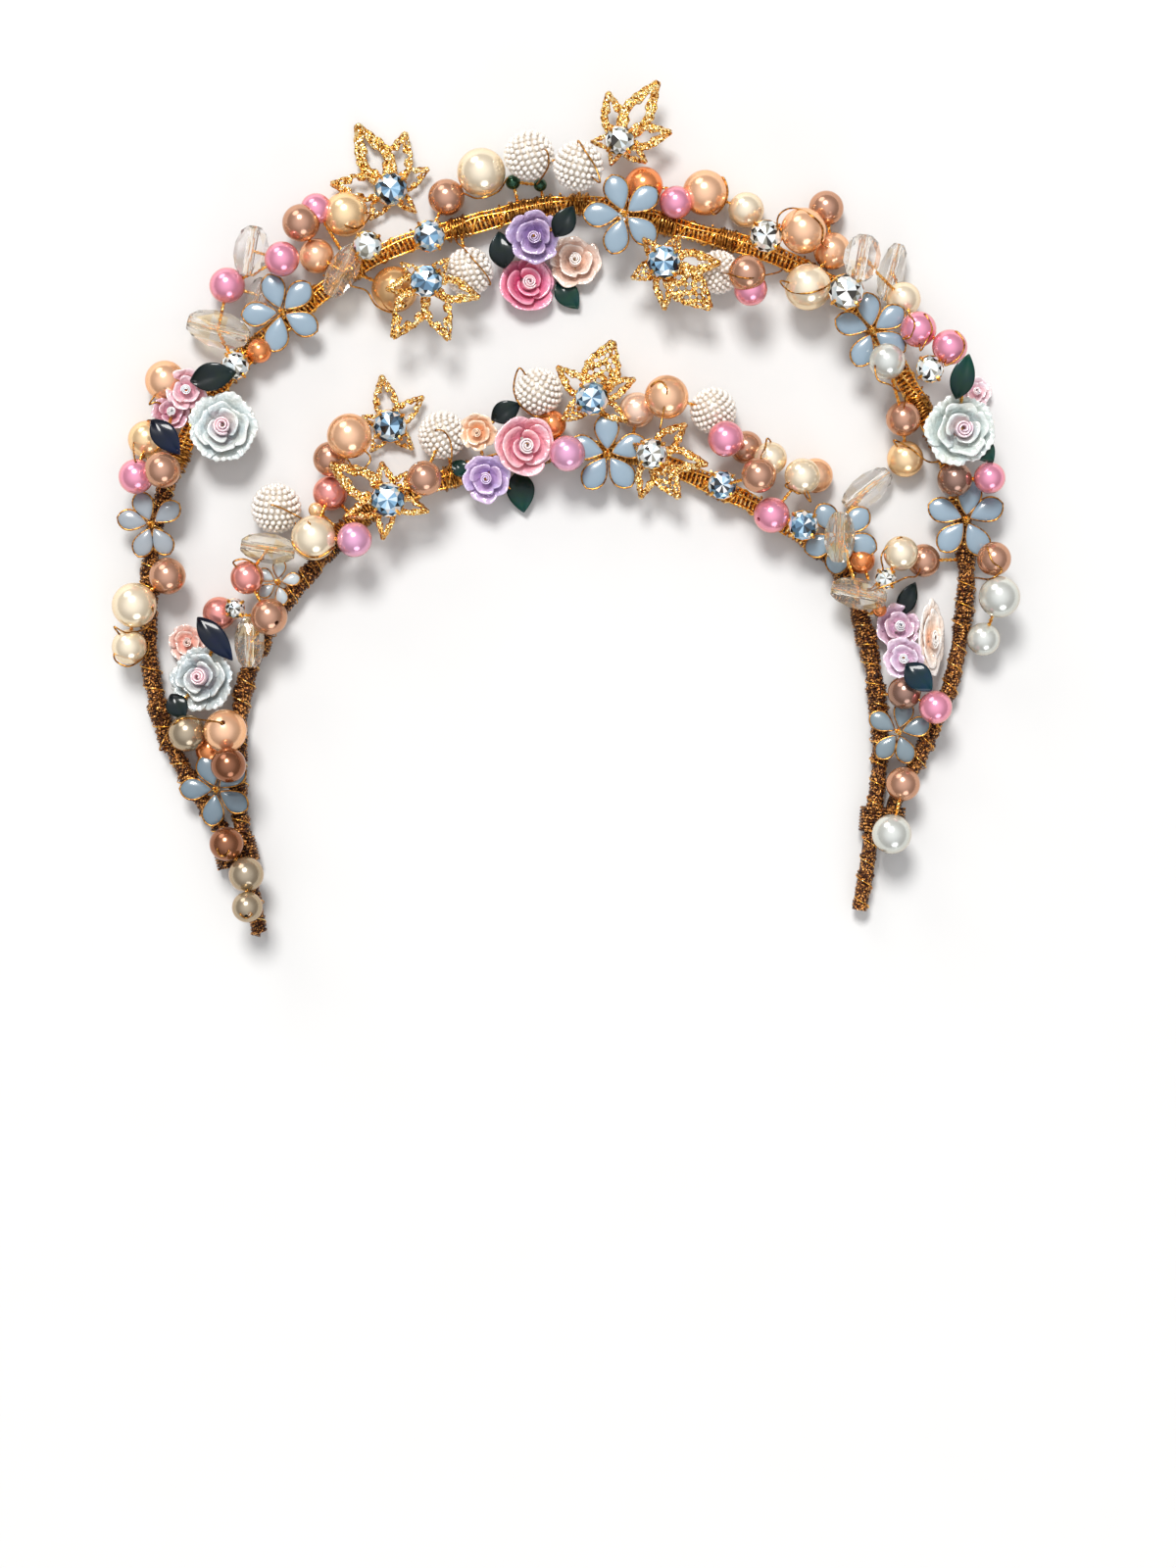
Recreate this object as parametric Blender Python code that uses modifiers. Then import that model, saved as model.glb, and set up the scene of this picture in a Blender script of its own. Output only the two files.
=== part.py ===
"""Double-arch pearl headband, lying on its back.

Two wrapped arches are bound together at their lower ends. Pearls, beaded balls, glass crystals,
set stones, enamel flowers, pierced leaves and ceramic roses are wired to their fronts.
Metres, +Z up: the wearer's front faces up, +X is the right of the front view and +Y its top.
"""
import math

import bmesh
import bpy
from mathutils import Matrix, Vector

MM = 0.001

# The front view's columns px and py are pixels of the photograph, read to the piece's centre.
PIXELS_PER_MM = 4.6
MIDDLE_PX = 576.5
MIDDLE_PY = 519.3

GAP = 0.3 * MM
WELD = 0.004 * MM

BAND_DIAMETER = 4.4 * MM
BAND_HEIGHT = 3.3 * MM
BAND_STEP = 9.0 * MM
BINDING_LENGTH = 6.0 * MM
BINDING_WALL = 0.8 * MM
BINDING_CLEARANCE = 0.35 * MM
BINDING_BAND_SHARE = 0.9
ROUTE_STEPS = 12

WIRE_DIAMETER = 1.0 * MM
STEM_SHORTEST = 0.7 * MM

# A petal runs from its root to the flower's reach: (along, across) as shares of reach and half width.
PETAL_WIDTH = 4.0 * MM
PETAL_ROOT = 1.5 * MM
PETAL_ROOT_SHARE = 0.28
PETAL_EDGE = [(0.56, -0.85), (0.86, -0.85), (1.0, 0.0), (0.86, 0.85), (0.56, 0.85)]
FLOWER_THICKNESS = 1.3 * MM

# A leaf's lobe is widest at its shoulder, and its piercing is a slit; angles in degrees.
LEAF_THICKNESS = 0.9 * MM
LEAF_RIM = 0.7 * MM
LOBE_SPREAD = 20
LOBE_SHOULDER = 0.6
LOBE_NOTCH = 0.15
SLIT_SPREAD = 9
SLIT_START = 0.36
SLIT_MIDDLE = 0.62
SLIT_END = 0.84

SPRIG_THICKNESS = 1.5 * MM
SPRIG_EDGE = [(-1, 0), (-0.3, -1), (0.4, -0.8), (1, 0), (0.4, 0.8), (-0.3, 1)]

# Rounds turned from top to bottom: (share of radius, share of half height).
ROSE_HEIGHT_RATIO = 0.5
ROSE_PROFILE = [(0, 1), (0.3, 0.7), (0.6, 0.8), (1, 0.25), (0.55, -1), (0, -1)]
ROSE_PETALS = 5
ROSE_WAVE = 0.06
STONE_HEIGHT_RATIO = 0.6
STONE_FOOT = 0.6
STONE_PROFILE = [(0, 1), (0.6, 1), (1, 0.25), (STONE_FOOT, -1), (0, -1)]
CRYSTAL_TIP = 0.42
CRYSTAL_TAPER = 0.5

BAND_SIDES = 8
BEAD_SIDES = 12
BEAD_RINGS = 6
ROSE_SIDES = 10
STONE_SIDES = 8
WIRE_SIDES = 5
SHARP_ANGLE = 35

# Band routes: px, py of the centreline and the share of the full diameter there.
OUTER_ROUTE = [
    (233, 886, 0.75), (225, 850, 0.8), (203, 814, 0.95), (186, 787, 1), (163, 732, 1), (150, 660, 1),
    (155, 545, 1), (180, 465, 1), (227, 385, 1), (300, 318, 1), (385, 258, 1), (480, 227, 1), (590, 206, 1),
    (700, 232, 1), (800, 262, 1), (880, 316, 1), (933, 400, 1), (972, 480, 1), (988, 580, 1),
    (975, 685, 1), (950, 750, 1), (924, 801, 0.85), (914, 820, 0.75), (910, 846, 0.7),
]
INNER_ROUTE = [
    (264, 956, 0.8), (256, 915, 0.9), (248, 870, 0.9), (243, 825, 0.95), (241, 765, 1), (249, 695, 1),
    (272, 640, 1), (316, 581, 1), (380, 517, 1), (465, 484, 1), (560, 459, 1), (650, 463, 1),
    (725, 492, 1), (800, 532, 1), (858, 580, 1), (885, 650, 1), (897, 718, 1), (899, 780, 0.95),
    (892, 835, 0.85), (886, 885, 0.9), (878, 930, 0.8),
]
BINDING_SPOTS = {"end_binding_left": (239, 869), "end_binding_right": (902, 837)}

placed = []


def spot(px, py):
    """Place in the plan of a pixel of the photograph."""
    return (px - MIDDLE_PX) / PIXELS_PER_MM * MM, (MIDDLE_PY - py) / PIXELS_PER_MM * MM


def finish_of(name, colour, roughness, metallic=0.0):
    """Principled material for one kind of piece."""
    material = bpy.data.materials.new(name)
    material.use_nodes = True
    shader = material.node_tree.nodes["Principled BSDF"]
    shader.inputs["Base Color"].default_value = (*colour, 1.0)
    shader.inputs["Roughness"].default_value = roughness
    shader.inputs["Metallic"].default_value = metallic
    return material


def as_mesh(item):
    """Replaces a curve, or an object with modifiers, by its plain closed mesh."""
    bpy.context.view_layer.update()
    mesh = bpy.data.meshes.new_from_object(item.evaluated_get(bpy.context.evaluated_depsgraph_get()))
    shape = bmesh.new()
    shape.from_mesh(mesh)
    bmesh.ops.remove_doubles(shape, verts=shape.verts, dist=WELD)
    bmesh.ops.recalc_face_normals(shape, faces=shape.faces)
    shape.to_mesh(mesh)
    shape.free()
    solid = bpy.data.objects.new(item.name, mesh)
    bpy.context.scene.collection.objects.link(solid)
    solid.matrix_world = item.matrix_world.copy()
    bpy.data.objects.remove(item, do_unlink=True)
    return solid


def add_item(name, data, matrix=None):
    """Links new object data to the scene at a place."""
    item = bpy.data.objects.new(name, data)
    bpy.context.scene.collection.objects.link(item)
    if matrix is not None:
        item.matrix_world = matrix
    return item


def tube(points, shares):
    """Eight-sided band core through points, turned so that a flat faces the table."""
    curve = bpy.data.curves.new("band", "CURVE")
    curve.dimensions = "3D"
    curve.bevel_depth = BAND_DIAMETER / 2
    curve.bevel_resolution = BAND_SIDES // 2 - 2
    curve.use_fill_caps = True
    spline = curve.splines.new("POLY")
    spline.points.add(len(points) - 1)
    for row, point, share in zip(spline.points, points, shares):
        row.co = (*point, 1.0)
        row.radius = share
        row.tilt = math.pi / BAND_SIDES
    return as_mesh(add_item("band", curve))


def wire(start, end):
    """Straight run of gilt wire between two places."""
    run = end - start
    bpy.ops.mesh.primitive_cylinder_add(vertices=WIRE_SIDES, radius=WIRE_DIAMETER / 2, depth=run.length,
                                        location=(start + end) / 2,
                                        rotation=run.to_track_quat("Z", "Y").to_euler())
    return bpy.context.object


def plate(outlines, thickness, matrix):
    """Flat solid from an outer outline and the outlines of its piercings."""
    curve = bpy.data.curves.new("plate", "CURVE")
    curve.dimensions = "2D"
    curve.fill_mode = "BOTH"
    curve.extrude = thickness / 2
    for outline in outlines:
        spline = curve.splines.new("POLY")
        spline.points.add(len(outline) - 1)
        spline.use_cyclic_u = True
        for number, (x, y) in enumerate(outline):
            spline.points[number].co = (x, y, 0.0, 1.0)
    return as_mesh(add_item("plate", curve, matrix))


def turned(profile, radius, half, sides, matrix):
    """Solid turned from (share of radius, share of half height) steps, from top to bottom."""
    mesh = bpy.data.meshes.new("turned")
    mesh.from_pydata([(out * radius, 0, up * half) for out, up in profile],
                     [(number, number + 1) for number in range(len(profile) - 1)], [])
    item = add_item("turned", mesh, matrix)
    turn = item.modifiers.new("turn", "SCREW")
    turn.steps = turn.render_steps = sides
    turn.use_merge_vertices = True
    turn.merge_threshold = WELD
    return as_mesh(item)


def fuse(name, members, finish):
    """Joins overlapping solids into one named body."""
    body = members[0]
    for member in members[1:]:
        join = body.modifiers.new("join", "BOOLEAN")
        join.operation = "UNION"
        join.object = member
    solid = as_mesh(body)
    for member in members[1:]:
        bpy.data.objects.remove(member, do_unlink=True)
    solid.name = name
    solid.data.name = name
    solid.data.materials.clear()
    solid.data.materials.append(finish)
    solid.data.shade_smooth()
    solid.data.set_sharp_from_angle(angle=math.radians(SHARP_ANGLE))
    bpy.context.scene.collection.objects.unlink(solid)
    bpy.data.collections["pearl_headband"].objects.link(solid)
    return solid


def polar(angle, distance):
    """Plan offset at an angle in degrees."""
    return distance * math.cos(math.radians(angle)), distance * math.sin(math.radians(angle))


class Piece:
    """One bead, stone or ornament; layer 0 is settled first and lies furthest back."""

    melds = False

    def __init__(self, px, py, layer):
        self.x, self.y = spot(px, py)
        self.layer = layer
        self.z = 0.0
        self.lift = 0.0

    def centre(self):
        return Vector((self.x, self.y, self.z))

    def matrix(self, turn=0.0):
        return Matrix.Translation(self.centre()) @ Matrix.Rotation(math.radians(turn), 4, "Z")


class Pearl(Piece):
    """Round glass pearl."""

    def __init__(self, px, py, diameter, layer=2):
        super().__init__(px, py, layer)
        self.radius = diameter * MM / 2

    def balls(self):
        return [(0, 0, 0, self.radius)]

    def solids(self):
        bpy.ops.mesh.primitive_ico_sphere_add(subdivisions=2, radius=self.radius, location=self.centre())
        return [bpy.context.object]


class BeadedBall(Pearl):
    """Ball covered with seed pearls, to its outer size."""

    def solids(self):
        bpy.ops.mesh.primitive_uv_sphere_add(segments=BEAD_SIDES, ring_count=BEAD_RINGS,
                                             radius=self.radius, location=self.centre())
        return [bpy.context.object]


class Crystal(Piece):
    """Faceted glass drop, lying along an angle of the plan."""

    def __init__(self, px, py, length, width, turn, layer=2):
        super().__init__(px, py, layer)
        self.length = length * MM
        self.radius = width * MM / 2
        self.turn = turn

    def balls(self):
        reach = self.length / 2 - CRYSTAL_TIP * self.radius
        return [(*polar(self.turn, share * reach), 0, self.radius * (1 - CRYSTAL_TAPER * abs(share)))
                for share in (-1, -0.5, 0, 0.5, 1)]

    def solids(self):
        profile = [(0, 1), (CRYSTAL_TIP, 1), (1, 0), (CRYSTAL_TIP, -1), (0, -1)]
        lying = self.matrix(self.turn) @ Matrix.Rotation(math.radians(90), 4, "Y")
        return [turned(profile, self.radius, self.length / 2, STONE_SIDES, lying)]


class Stone(Piece):
    """Round cut stone in its cup: a table, eight crown facets and the cup below."""

    def __init__(self, px, py, diameter, layer=2):
        super().__init__(px, py, layer)
        self.radius = diameter * MM / 2
        self.height = diameter * MM * STONE_HEIGHT_RATIO
        self.foot = STONE_FOOT * self.radius

    def balls(self):
        return [(0, 0, 0, self.height / 2)] + [
            (*polar(angle, self.radius - self.height / 2), 0, self.height / 2)
            for angle in range(0, 360, 60)]

    def solids(self):
        return [turned(STONE_PROFILE, self.radius, self.height / 2, STONE_SIDES, self.matrix())]


class Flower(Piece):
    """Five enamel petals round a gilt centre; angles of the petals run anticlockwise."""

    def __init__(self, px, py, reach, angles, layer=1):
        super().__init__(px, py, layer)
        self.reach = reach * MM
        self.angles = angles

    def outline(self):
        root = PETAL_ROOT / self.reach
        steps = [(root, -PETAL_ROOT_SHARE)] + PETAL_EDGE + [(root, PETAL_ROOT_SHARE)]
        points = []
        for angle in self.angles:
            for along, across in steps:
                out = Vector(polar(angle, along * self.reach))
                aside = Vector(polar(angle + 90, across * PETAL_WIDTH / 2))
                points.append(tuple(out + aside))
        return points

    def balls(self):
        thin = FLOWER_THICKNESS / 2
        inner = [(*polar(angle, share * self.reach), 0, thin)
                 for angle in self.angles for share in (0.3, 0.5, 0.7, 0.85)]
        return [(x, y, 0, thin) for x, y in self.outline()] + inner + [(0, 0, 0, 2 * thin)]

    def solids(self):
        return [plate([self.outline()], FLOWER_THICKNESS, self.matrix())]


class FiligreeLeaf(Piece):
    """Pierced gilt leaf with a cut stone; lobes are (angle, length in mm) anticlockwise."""

    def __init__(self, px, py, stone, lobes, layer=1):
        super().__init__(px, py, layer)
        self.lobes = [(angle, length * MM) for angle, length in lobes]
        self.stone = Stone(px, py, stone)

    def outline(self):
        points = []
        for number, (angle, length) in enumerate(self.lobes):
            following, next_length = self.lobes[(number + 1) % len(self.lobes)]
            between = angle + ((following - angle) % 360) / 2
            notch = max(LOBE_NOTCH * (length + next_length), self.stone.foot + LEAF_RIM)
            shoulder = LOBE_SHOULDER * length
            points += [polar(angle - LOBE_SPREAD, shoulder), polar(angle, length),
                       polar(angle + LOBE_SPREAD, shoulder), polar(between, notch)]
        return points

    def piercings(self):
        inner = self.stone.foot + LEAF_RIM
        slits = []
        for angle, length in self.lobes:
            middle = SLIT_MIDDLE * length
            if inner < 0.9 * middle:
                slits.append([polar(angle, max(SLIT_START * length, inner)),
                              polar(angle + SLIT_SPREAD, middle), polar(angle, SLIT_END * length),
                              polar(angle - SLIT_SPREAD, middle)])
        return slits

    def balls(self):
        thin = LEAF_THICKNESS / 2
        edge = self.outline()
        middle = [((x + u) / 2, (y + v) / 2) for (x, y), (u, v) in zip(edge, edge[1:] + edge[:1])]
        flat = [(x, y, 0, thin) for x, y in edge + middle]
        ribs = [(*polar(angle, share * length), 0, thin)
                for angle, length in self.lobes for share in (0.3, 0.45, 0.6, 0.75)]
        rise = self.stone.height / 2
        return flat + ribs + [(x, y, rise, radius) for x, y, _, radius in self.stone.balls()]

    def solids(self):
        self.stone.z = self.z + self.stone.height / 2
        holes = self.piercings()
        return [plate([self.outline()] + holes, LEAF_THICKNESS, self.matrix())] + self.stone.solids()


class Rose(Piece):
    """Ceramic rose: an open outer whorl round a raised bud."""

    melds = True

    def __init__(self, px, py, diameter, layer=3, lift=0.0):
        super().__init__(px, py, layer)
        self.radius = diameter * MM / 2
        self.height = diameter * MM * ROSE_HEIGHT_RATIO
        self.lift = lift * MM

    def balls(self):
        small = self.height / 2
        return [(0, 0, 0, small)] + [(*polar(angle, self.radius - small), 0, small)
                                     for angle in range(0, 360, 45)]

    def solids(self):
        rose = turned(ROSE_PROFILE, self.radius, self.height / 2, ROSE_SIDES, self.matrix())
        for vertex in rose.data.vertices:
            bearing = math.atan2(vertex.co.y, vertex.co.x)
            vertex.co.xy *= 1 - ROSE_WAVE * (1 - math.cos(ROSE_PETALS * bearing))
        return [rose]


class Sprig(Piece):
    """Small glazed leaf, pointed at both ends."""

    melds = True

    def __init__(self, px, py, length, width, turn, layer=3):
        super().__init__(px, py, layer)
        self.length = length * MM
        self.width = width * MM
        self.turn = turn

    def balls(self):
        thin = SPRIG_THICKNESS / 2
        turn = Matrix.Rotation(math.radians(self.turn), 2)
        grid = [(along, across) for along in (-0.3, -0.1, 0.1, 0.3) for across in (-0.35, 0, 0.35)]
        return [(*(turn @ Vector((along * self.length, across * self.width))), 0, thin)
                for along, across in grid + [(-0.46, 0), (0.46, 0)]]

    def solids(self):
        outline = [(along * self.length / 2, across * self.width / 2) for along, across in SPRIG_EDGE]
        return [plate([outline], SPRIG_THICKNESS, self.matrix(self.turn))]


class ClusterPearl(Pearl):
    """Pearl fused into a cluster of roses."""

    melds = True


SPRAYS = {
    "outer_spray_1": [Pearl(131, 660, 7.8), Pearl(138, 618, 10), Pearl(171, 588, 8.2)],
    "outer_spray_2": [Pearl(140, 487, 7.8), Pearl(169, 482, 8), Pearl(148, 447, 8.4)],
    "outer_spray_3": [Stone(240, 373, 6.2), Crystal(222, 335, 14, 8, -15), Pearl(231, 290, 8),
                      Crystal(256, 256, 11, 7.6, 80, 0), Pearl(288, 265, 7.8)],
    "outer_spray_4": [Pearl(307, 227, 8.4), Pearl(352, 217, 10), Pearl(322, 259, 7.8, 0),
                      Crystal(350, 277, 12.5, 6.5, 62), Stone(376, 253, 6.4), Pearl(402, 294, 10.4, 0)],
    "outer_spray_5": [Stone(438, 241, 7), Pearl(455, 199, 8.2), Pearl(491, 175, 10.8)],
    "outer_spray_6": [Pearl(657, 188, 8.6, 0), Pearl(720, 195, 10.2), Pearl(762, 212, 8)],
    "outer_spray_7": [BeadedBall(733, 276, 10, 0), Pearl(761, 283, 8.2), Pearl(765, 298, 7.4, 0)],
    "outer_spray_8": [Stone(781, 243, 7.2), Pearl(819, 237, 10.2), Pearl(844, 210, 7.8, 0),
                      Pearl(850, 254, 8.4, 0), Pearl(824, 294, 10.4)],
    "outer_spray_9": [Stone(861, 302, 7.8), Crystal(877, 268, 10, 8, 80), Crystal(911, 276, 13, 5.8, 75, 0),
                      Pearl(922, 305, 7.8, 0), Pearl(935, 339, 8), Pearl(966, 358, 7.8),
                      Stone(945, 381, 6)],
    "outer_spray_10": [Pearl(903, 372, 8), Pearl(922, 427, 7.8), Pearl(925, 467, 8.2)],
    "outer_spray_11": [Pearl(973, 490, 7.8), Pearl(1008, 489, 7)],
    "outer_spray_12": [Pearl(1013, 571, 7.6), Pearl(1019, 610, 9.2), Pearl(1004, 652, 7.4)],
    "inner_spray_1": [Pearl(232, 861, 7.6), Pearl(252, 892, 7.8), Pearl(254, 925, 6.8)],
    "inner_spray_2": [Pearl(191, 748, 8.3), Pearl(231, 746, 9.6), Pearl(236, 781, 7.8)],
    "inner_spray_3": [Pearl(222, 625, 7.4), Crystal(255, 656, 11, 6.6, 90), Pearl(276, 630, 8.2),
                      Pearl(253, 590, 7.4), Crystal(274, 560, 12, 6.6, -8)],
    "inner_spray_4": [Pearl(336, 502, 7.8, 0), Pearl(321, 550, 10), Pearl(363, 552, 7.8)],
    "inner_spray_5": [Pearl(337, 468, 7.8, 0), Pearl(358, 447, 10)],
    "inner_spray_6": [Pearl(434, 490, 7.8), BeadedBall(451, 443, 11, 0)],
    "inner_spray_7": [Pearl(650, 417, 8, 0), Pearl(680, 406, 9.8), BeadedBall(728, 418, 10.6)],
    "inner_spray_8": [Pearl(762, 455, 7.4, 0), Pearl(786, 468, 7.4, 0), Pearl(740, 449, 8),
                      Pearl(773, 487, 7.8), Stone(737, 495, 6.4)],
    "inner_spray_9": [Pearl(833, 484, 7.8, 0), Pearl(818, 487, 8), Pearl(787, 526, 8),
                      Stone(819, 537, 6.6)],
    "inner_spray_10": [Crystal(886, 498, 12.4, 6.6, 38, 0)],
    "inner_spray_11": [Crystal(856, 549, 11, 6.8, 88), Crystal(876, 606, 12.4, 6.8, -12)],
    "inner_spray_12": [Pearl(919, 565, 7.8), Pearl(944, 571, 7.4, 0)],
    "inner_spray_13": [Pearl(922, 707, 7.4), Pearl(953, 722, 7.4)],
    "inner_spray_14": [Pearl(921, 800, 7.6), Pearl(909, 851, 8.8)],
    "beaded_pair_crown": [BeadedBall(540, 159, 11.4), BeadedBall(590, 172, 11.4)],
    "beaded_ball_outer": [BeadedBall(478, 276, 11.2, 0)],
    "beaded_ball_left": [BeadedBall(281, 518, 11.4, 0)],
    "beaded_ball_inner": [BeadedBall(549, 399, 11, 0)],
}

FLOWERS = {
    "outer_flower_1": [Flower(154, 535, 7.6, (37, 112, 168, 248, 302))],
    "outer_flower_2": [Flower(287, 318, 8.8, (46, 110, 184, 258, 332))],
    "outer_flower_3": [Flower(637, 220, 9.0, (38, 108, 180, 252, 318))],
    "outer_flower_4": [Flower(889, 339, 8.4, (35, 98, 163, 246, 328))],
    "outer_flower_5": [Flower(986, 530, 8.8, (24, 82, 158, 230, 298))],
    "inner_flower_1": [Flower(220, 806, 8.0, (40, 112, 178, 262, 328))],
    "inner_flower_2": [Flower(283, 594, 5.0, (12, 84, 150, 215, 285))],
    "inner_flower_3": [Flower(620, 463, 8.8, (18, 92, 165, 238, 306))],
    "inner_flower_4": [Flower(858, 547, 8.4, (45, 125, 202, 262, 340))],
    "inner_flower_5": [Flower(917, 747, 7.2, (15, 75, 148, 232, 290))],
}

LEAVES = {
    "outer_leaf_1": [FiligreeLeaf(398, 190, 7.4, ((29, 10), (76, 13.6), (118, 17), (175, 14),
                                                  (234, 8.6), (317, 8)))],
    "outer_leaf_2": [FiligreeLeaf(436, 290, 7.2, ((48, 7.5), (143, 7.5), (190, 9.4), (239, 15),
                                                  (291, 14.4), (344, 12.6)))],
    "outer_leaf_3": [FiligreeLeaf(632, 144, 6.6, ((10, 12.2), (57, 16.3), (103, 11.8), (180, 6.6),
                                                  (250, 6), (322, 8)))],
    "outer_leaf_4": [FiligreeLeaf(677, 270, 7.4, ((0, 13), (60, 7.5), (130, 7.5), (205, 8.2),
                                                  (271, 10.8), (316, 15)))],
    "inner_leaf_1": [FiligreeLeaf(397, 433, 7.4, ((42, 10.4), (100, 12), (160, 7), (232, 7.5), (315, 7.5)))],
    "inner_leaf_2": [FiligreeLeaf(397, 512, 7.6, ((56, 8), (100, 9), (148, 15.6), (200, 10.6), (262, 9),
                                                  (345, 9.6)))],
    "inner_leaf_3": [FiligreeLeaf(604, 407, 7.4, ((25, 11), (70, 14.2), (137, 11), (216, 8.6), (328, 9.8)))],
    "inner_leaf_4": [FiligreeLeaf(665, 464, 6.8, ((42, 10.6), (150, 5), (256, 10.4), (302, 12),
                                                  (350, 13)))],
}

ROSES = {
    "roses_outer_left": [ClusterPearl(167, 387, 9, 0), Rose(228, 437, 16.4), Rose(190, 398, 9, lift=1),
                         Rose(174, 421, 8), Sprig(218, 385, 10, 6, 12), Sprig(176, 450, 9, 7, -35)],
    "roses_outer_centre": [Rose(539, 287, 12.6), Rose(545, 239, 11, lift=1), Rose(586, 264, 11),
                           Sprig(511, 254, 8, 6, 120), Sprig(578, 226, 9, 6, 20),
                           Sprig(579, 297, 8, 6, -50)],
    "roses_outer_right": [Rose(978, 441, 16), Rose(998, 398, 7, lift=1), Sprig(978, 389, 10, 5, 75),
                          Sprig(1004, 461, 7, 6, -50)],
    "roses_inner_left": [Rose(205, 692, 15.4, lift=1), Rose(188, 655, 8), Sprig(222, 652, 12, 5, -50),
                         Sprig(184, 718, 8, 6, -60)],
    "roses_inner_centre": [Rose(536, 455, 14.2, lift=1), Rose(496, 488, 10), Rose(488, 442, 8),
                           Sprig(513, 423, 9, 6, 60), Sprig(531, 500, 9, 6, -80),
                           Sprig(468, 479, 8, 6, -40), ClusterPearl(579, 464, 8)],
    "roses_inner_right": [Rose(918, 639, 9.4, lift=1), Rose(925, 671, 8.4), Rose(951, 650, 8.6),
                          Sprig(934, 611, 8, 4, 65), Sprig(940, 692, 8, 6, -45)],
}


def smooth_route(route):
    """Even points and diameter shares along a smooth curve through the route's rows."""
    rows = [Vector((*spot(px, py), share)) for px, py, share in route]
    rows = [2 * rows[0] - rows[1]] + rows + [2 * rows[-1] - rows[-2]]
    fine = []
    for before, start, end, after in zip(rows, rows[1:], rows[2:], rows[3:]):
        for step in range(ROUTE_STEPS):
            t = step / ROUTE_STEPS
            fine.append(0.5 * (2 * start + (end - before) * t
                               + (2 * before - 5 * start + 4 * end - after) * t ** 2
                               + (3 * start - before - 3 * end + after) * t ** 3))
    fine.append(rows[-2])
    even = [fine[0]]
    for row in fine[1:]:
        if (row.xy - even[-1].xy).length >= BAND_STEP:
            even.append(row)
    if (fine[-1].xy - even[-1].xy).length < BAND_STEP / 2:
        even.pop()
    even.append(fine[-1])
    points = [Vector((row.x, row.y, BAND_HEIGHT)) for row in even]
    return points, [row.z for row in even]


def make_band(name, route, finish):
    """Makes one arch and notes where it runs."""
    points, shares = smooth_route(route)
    band = tube(points, shares)
    for start, end, share in zip(points, points[1:], shares):
        for step in range(9):
            place = start.lerp(end, step / 9)
            placed.append((place, share * BAND_DIAMETER / 2, name))
    return fuse(name, [band], finish)


def make_binding(name, centre, finish):
    """Flat-sided sleeve that holds both bands side by side."""
    centre_spot = Vector((*spot(*centre), BAND_HEIGHT))
    near = sorted((place for place, _, owner in placed if owner == "inner_band"),
                  key=lambda place: (place - centre_spot).length)
    along = (near[1] - near[0]).normalized()
    beside = min((place for place, _, owner in placed if owner == "outer_band"),
                 key=lambda place: (place - near[0]).length)
    spread = (beside - near[0]) - along * (beside - near[0]).dot(along)
    middle = near[0] + spread / 2
    inside = BINDING_BAND_SHARE * BAND_DIAMETER / 2 + BINDING_CLEARANCE
    outlines = []
    for radius in (inside + BINDING_WALL, inside):
        outline = []
        for side, first in ((1, -90), (-1, 90)):
            for step in range(5):
                x, y = polar(first + 45 * step, radius)
                outline.append((x + side * spread.length / 2, y))
        outlines.append(outline)
    across = spread.normalized()
    turn = Matrix((across, Vector((0, 0, 1)), across.cross(Vector((0, 0, 1))))).transposed().to_4x4()
    sleeve = plate(outlines, BINDING_LENGTH, Matrix.Translation(middle) @ turn)
    for step in range(-3, 4):
        for share in (-0.5, 0, 0.5):
            place = middle + along * step * BINDING_LENGTH / 6 + spread * share
            placed.append((place, inside + BINDING_WALL, name))
    return fuse(name, [sleeve], finish)


def settle(piece, owner):
    """Lowers a piece until it lies a gap above the table or what is already placed."""
    balls = piece.balls()
    height = max(radius - rise for _, _, rise, radius in balls)
    for x, y, rise, radius in balls:
        spot_here = Vector((piece.x + x, piece.y + y))
        for place, other, holder in placed:
            if holder == owner and piece.melds:
                continue
            reach = radius + other + GAP
            flat = (spot_here - place.xy).length
            if flat < reach:
                height = max(height, place.z + math.sqrt(reach ** 2 - flat ** 2) - rise)
    piece.z = height + piece.lift
    for x, y, rise, radius in balls:
        placed.append((Vector((piece.x + x, piece.y + y, piece.z + rise)), radius, owner))


def stem(pieces):
    """Wire from the piece nearest a band down to that band, a gap short of it, or nothing."""
    best = None
    for piece in pieces:
        for place, radius, owner in placed:
            if owner in ("outer_band", "inner_band"):
                distance = (place - piece.centre()).length - radius
                if best is None or distance < best[0]:
                    best = (distance, piece, place, radius)
    _, piece, place, radius = best
    reach = piece.centre() - place
    end = place + reach.normalized() * (radius + GAP)
    inside = piece.balls()[0][3] if isinstance(piece, (Pearl, Crystal, Stone, Rose)) else 0.0
    if (piece.centre() - end).length - inside < STEM_SHORTEST:
        return []
    return [wire(piece.centre(), end)]


def make_node(name, pieces, finish):
    """Fuses a node's pieces, the wires between them and the stem to the band."""
    members = [solid for piece in pieces for solid in piece.solids()]
    for number, piece in enumerate(pieces[1:], start=1):
        nearest = min(pieces[:number], key=lambda other: (other.centre() - piece.centre()).length)
        members.append(wire(nearest.centre(), piece.centre()))
    return fuse(name, members + stem(pieces), finish)


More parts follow.
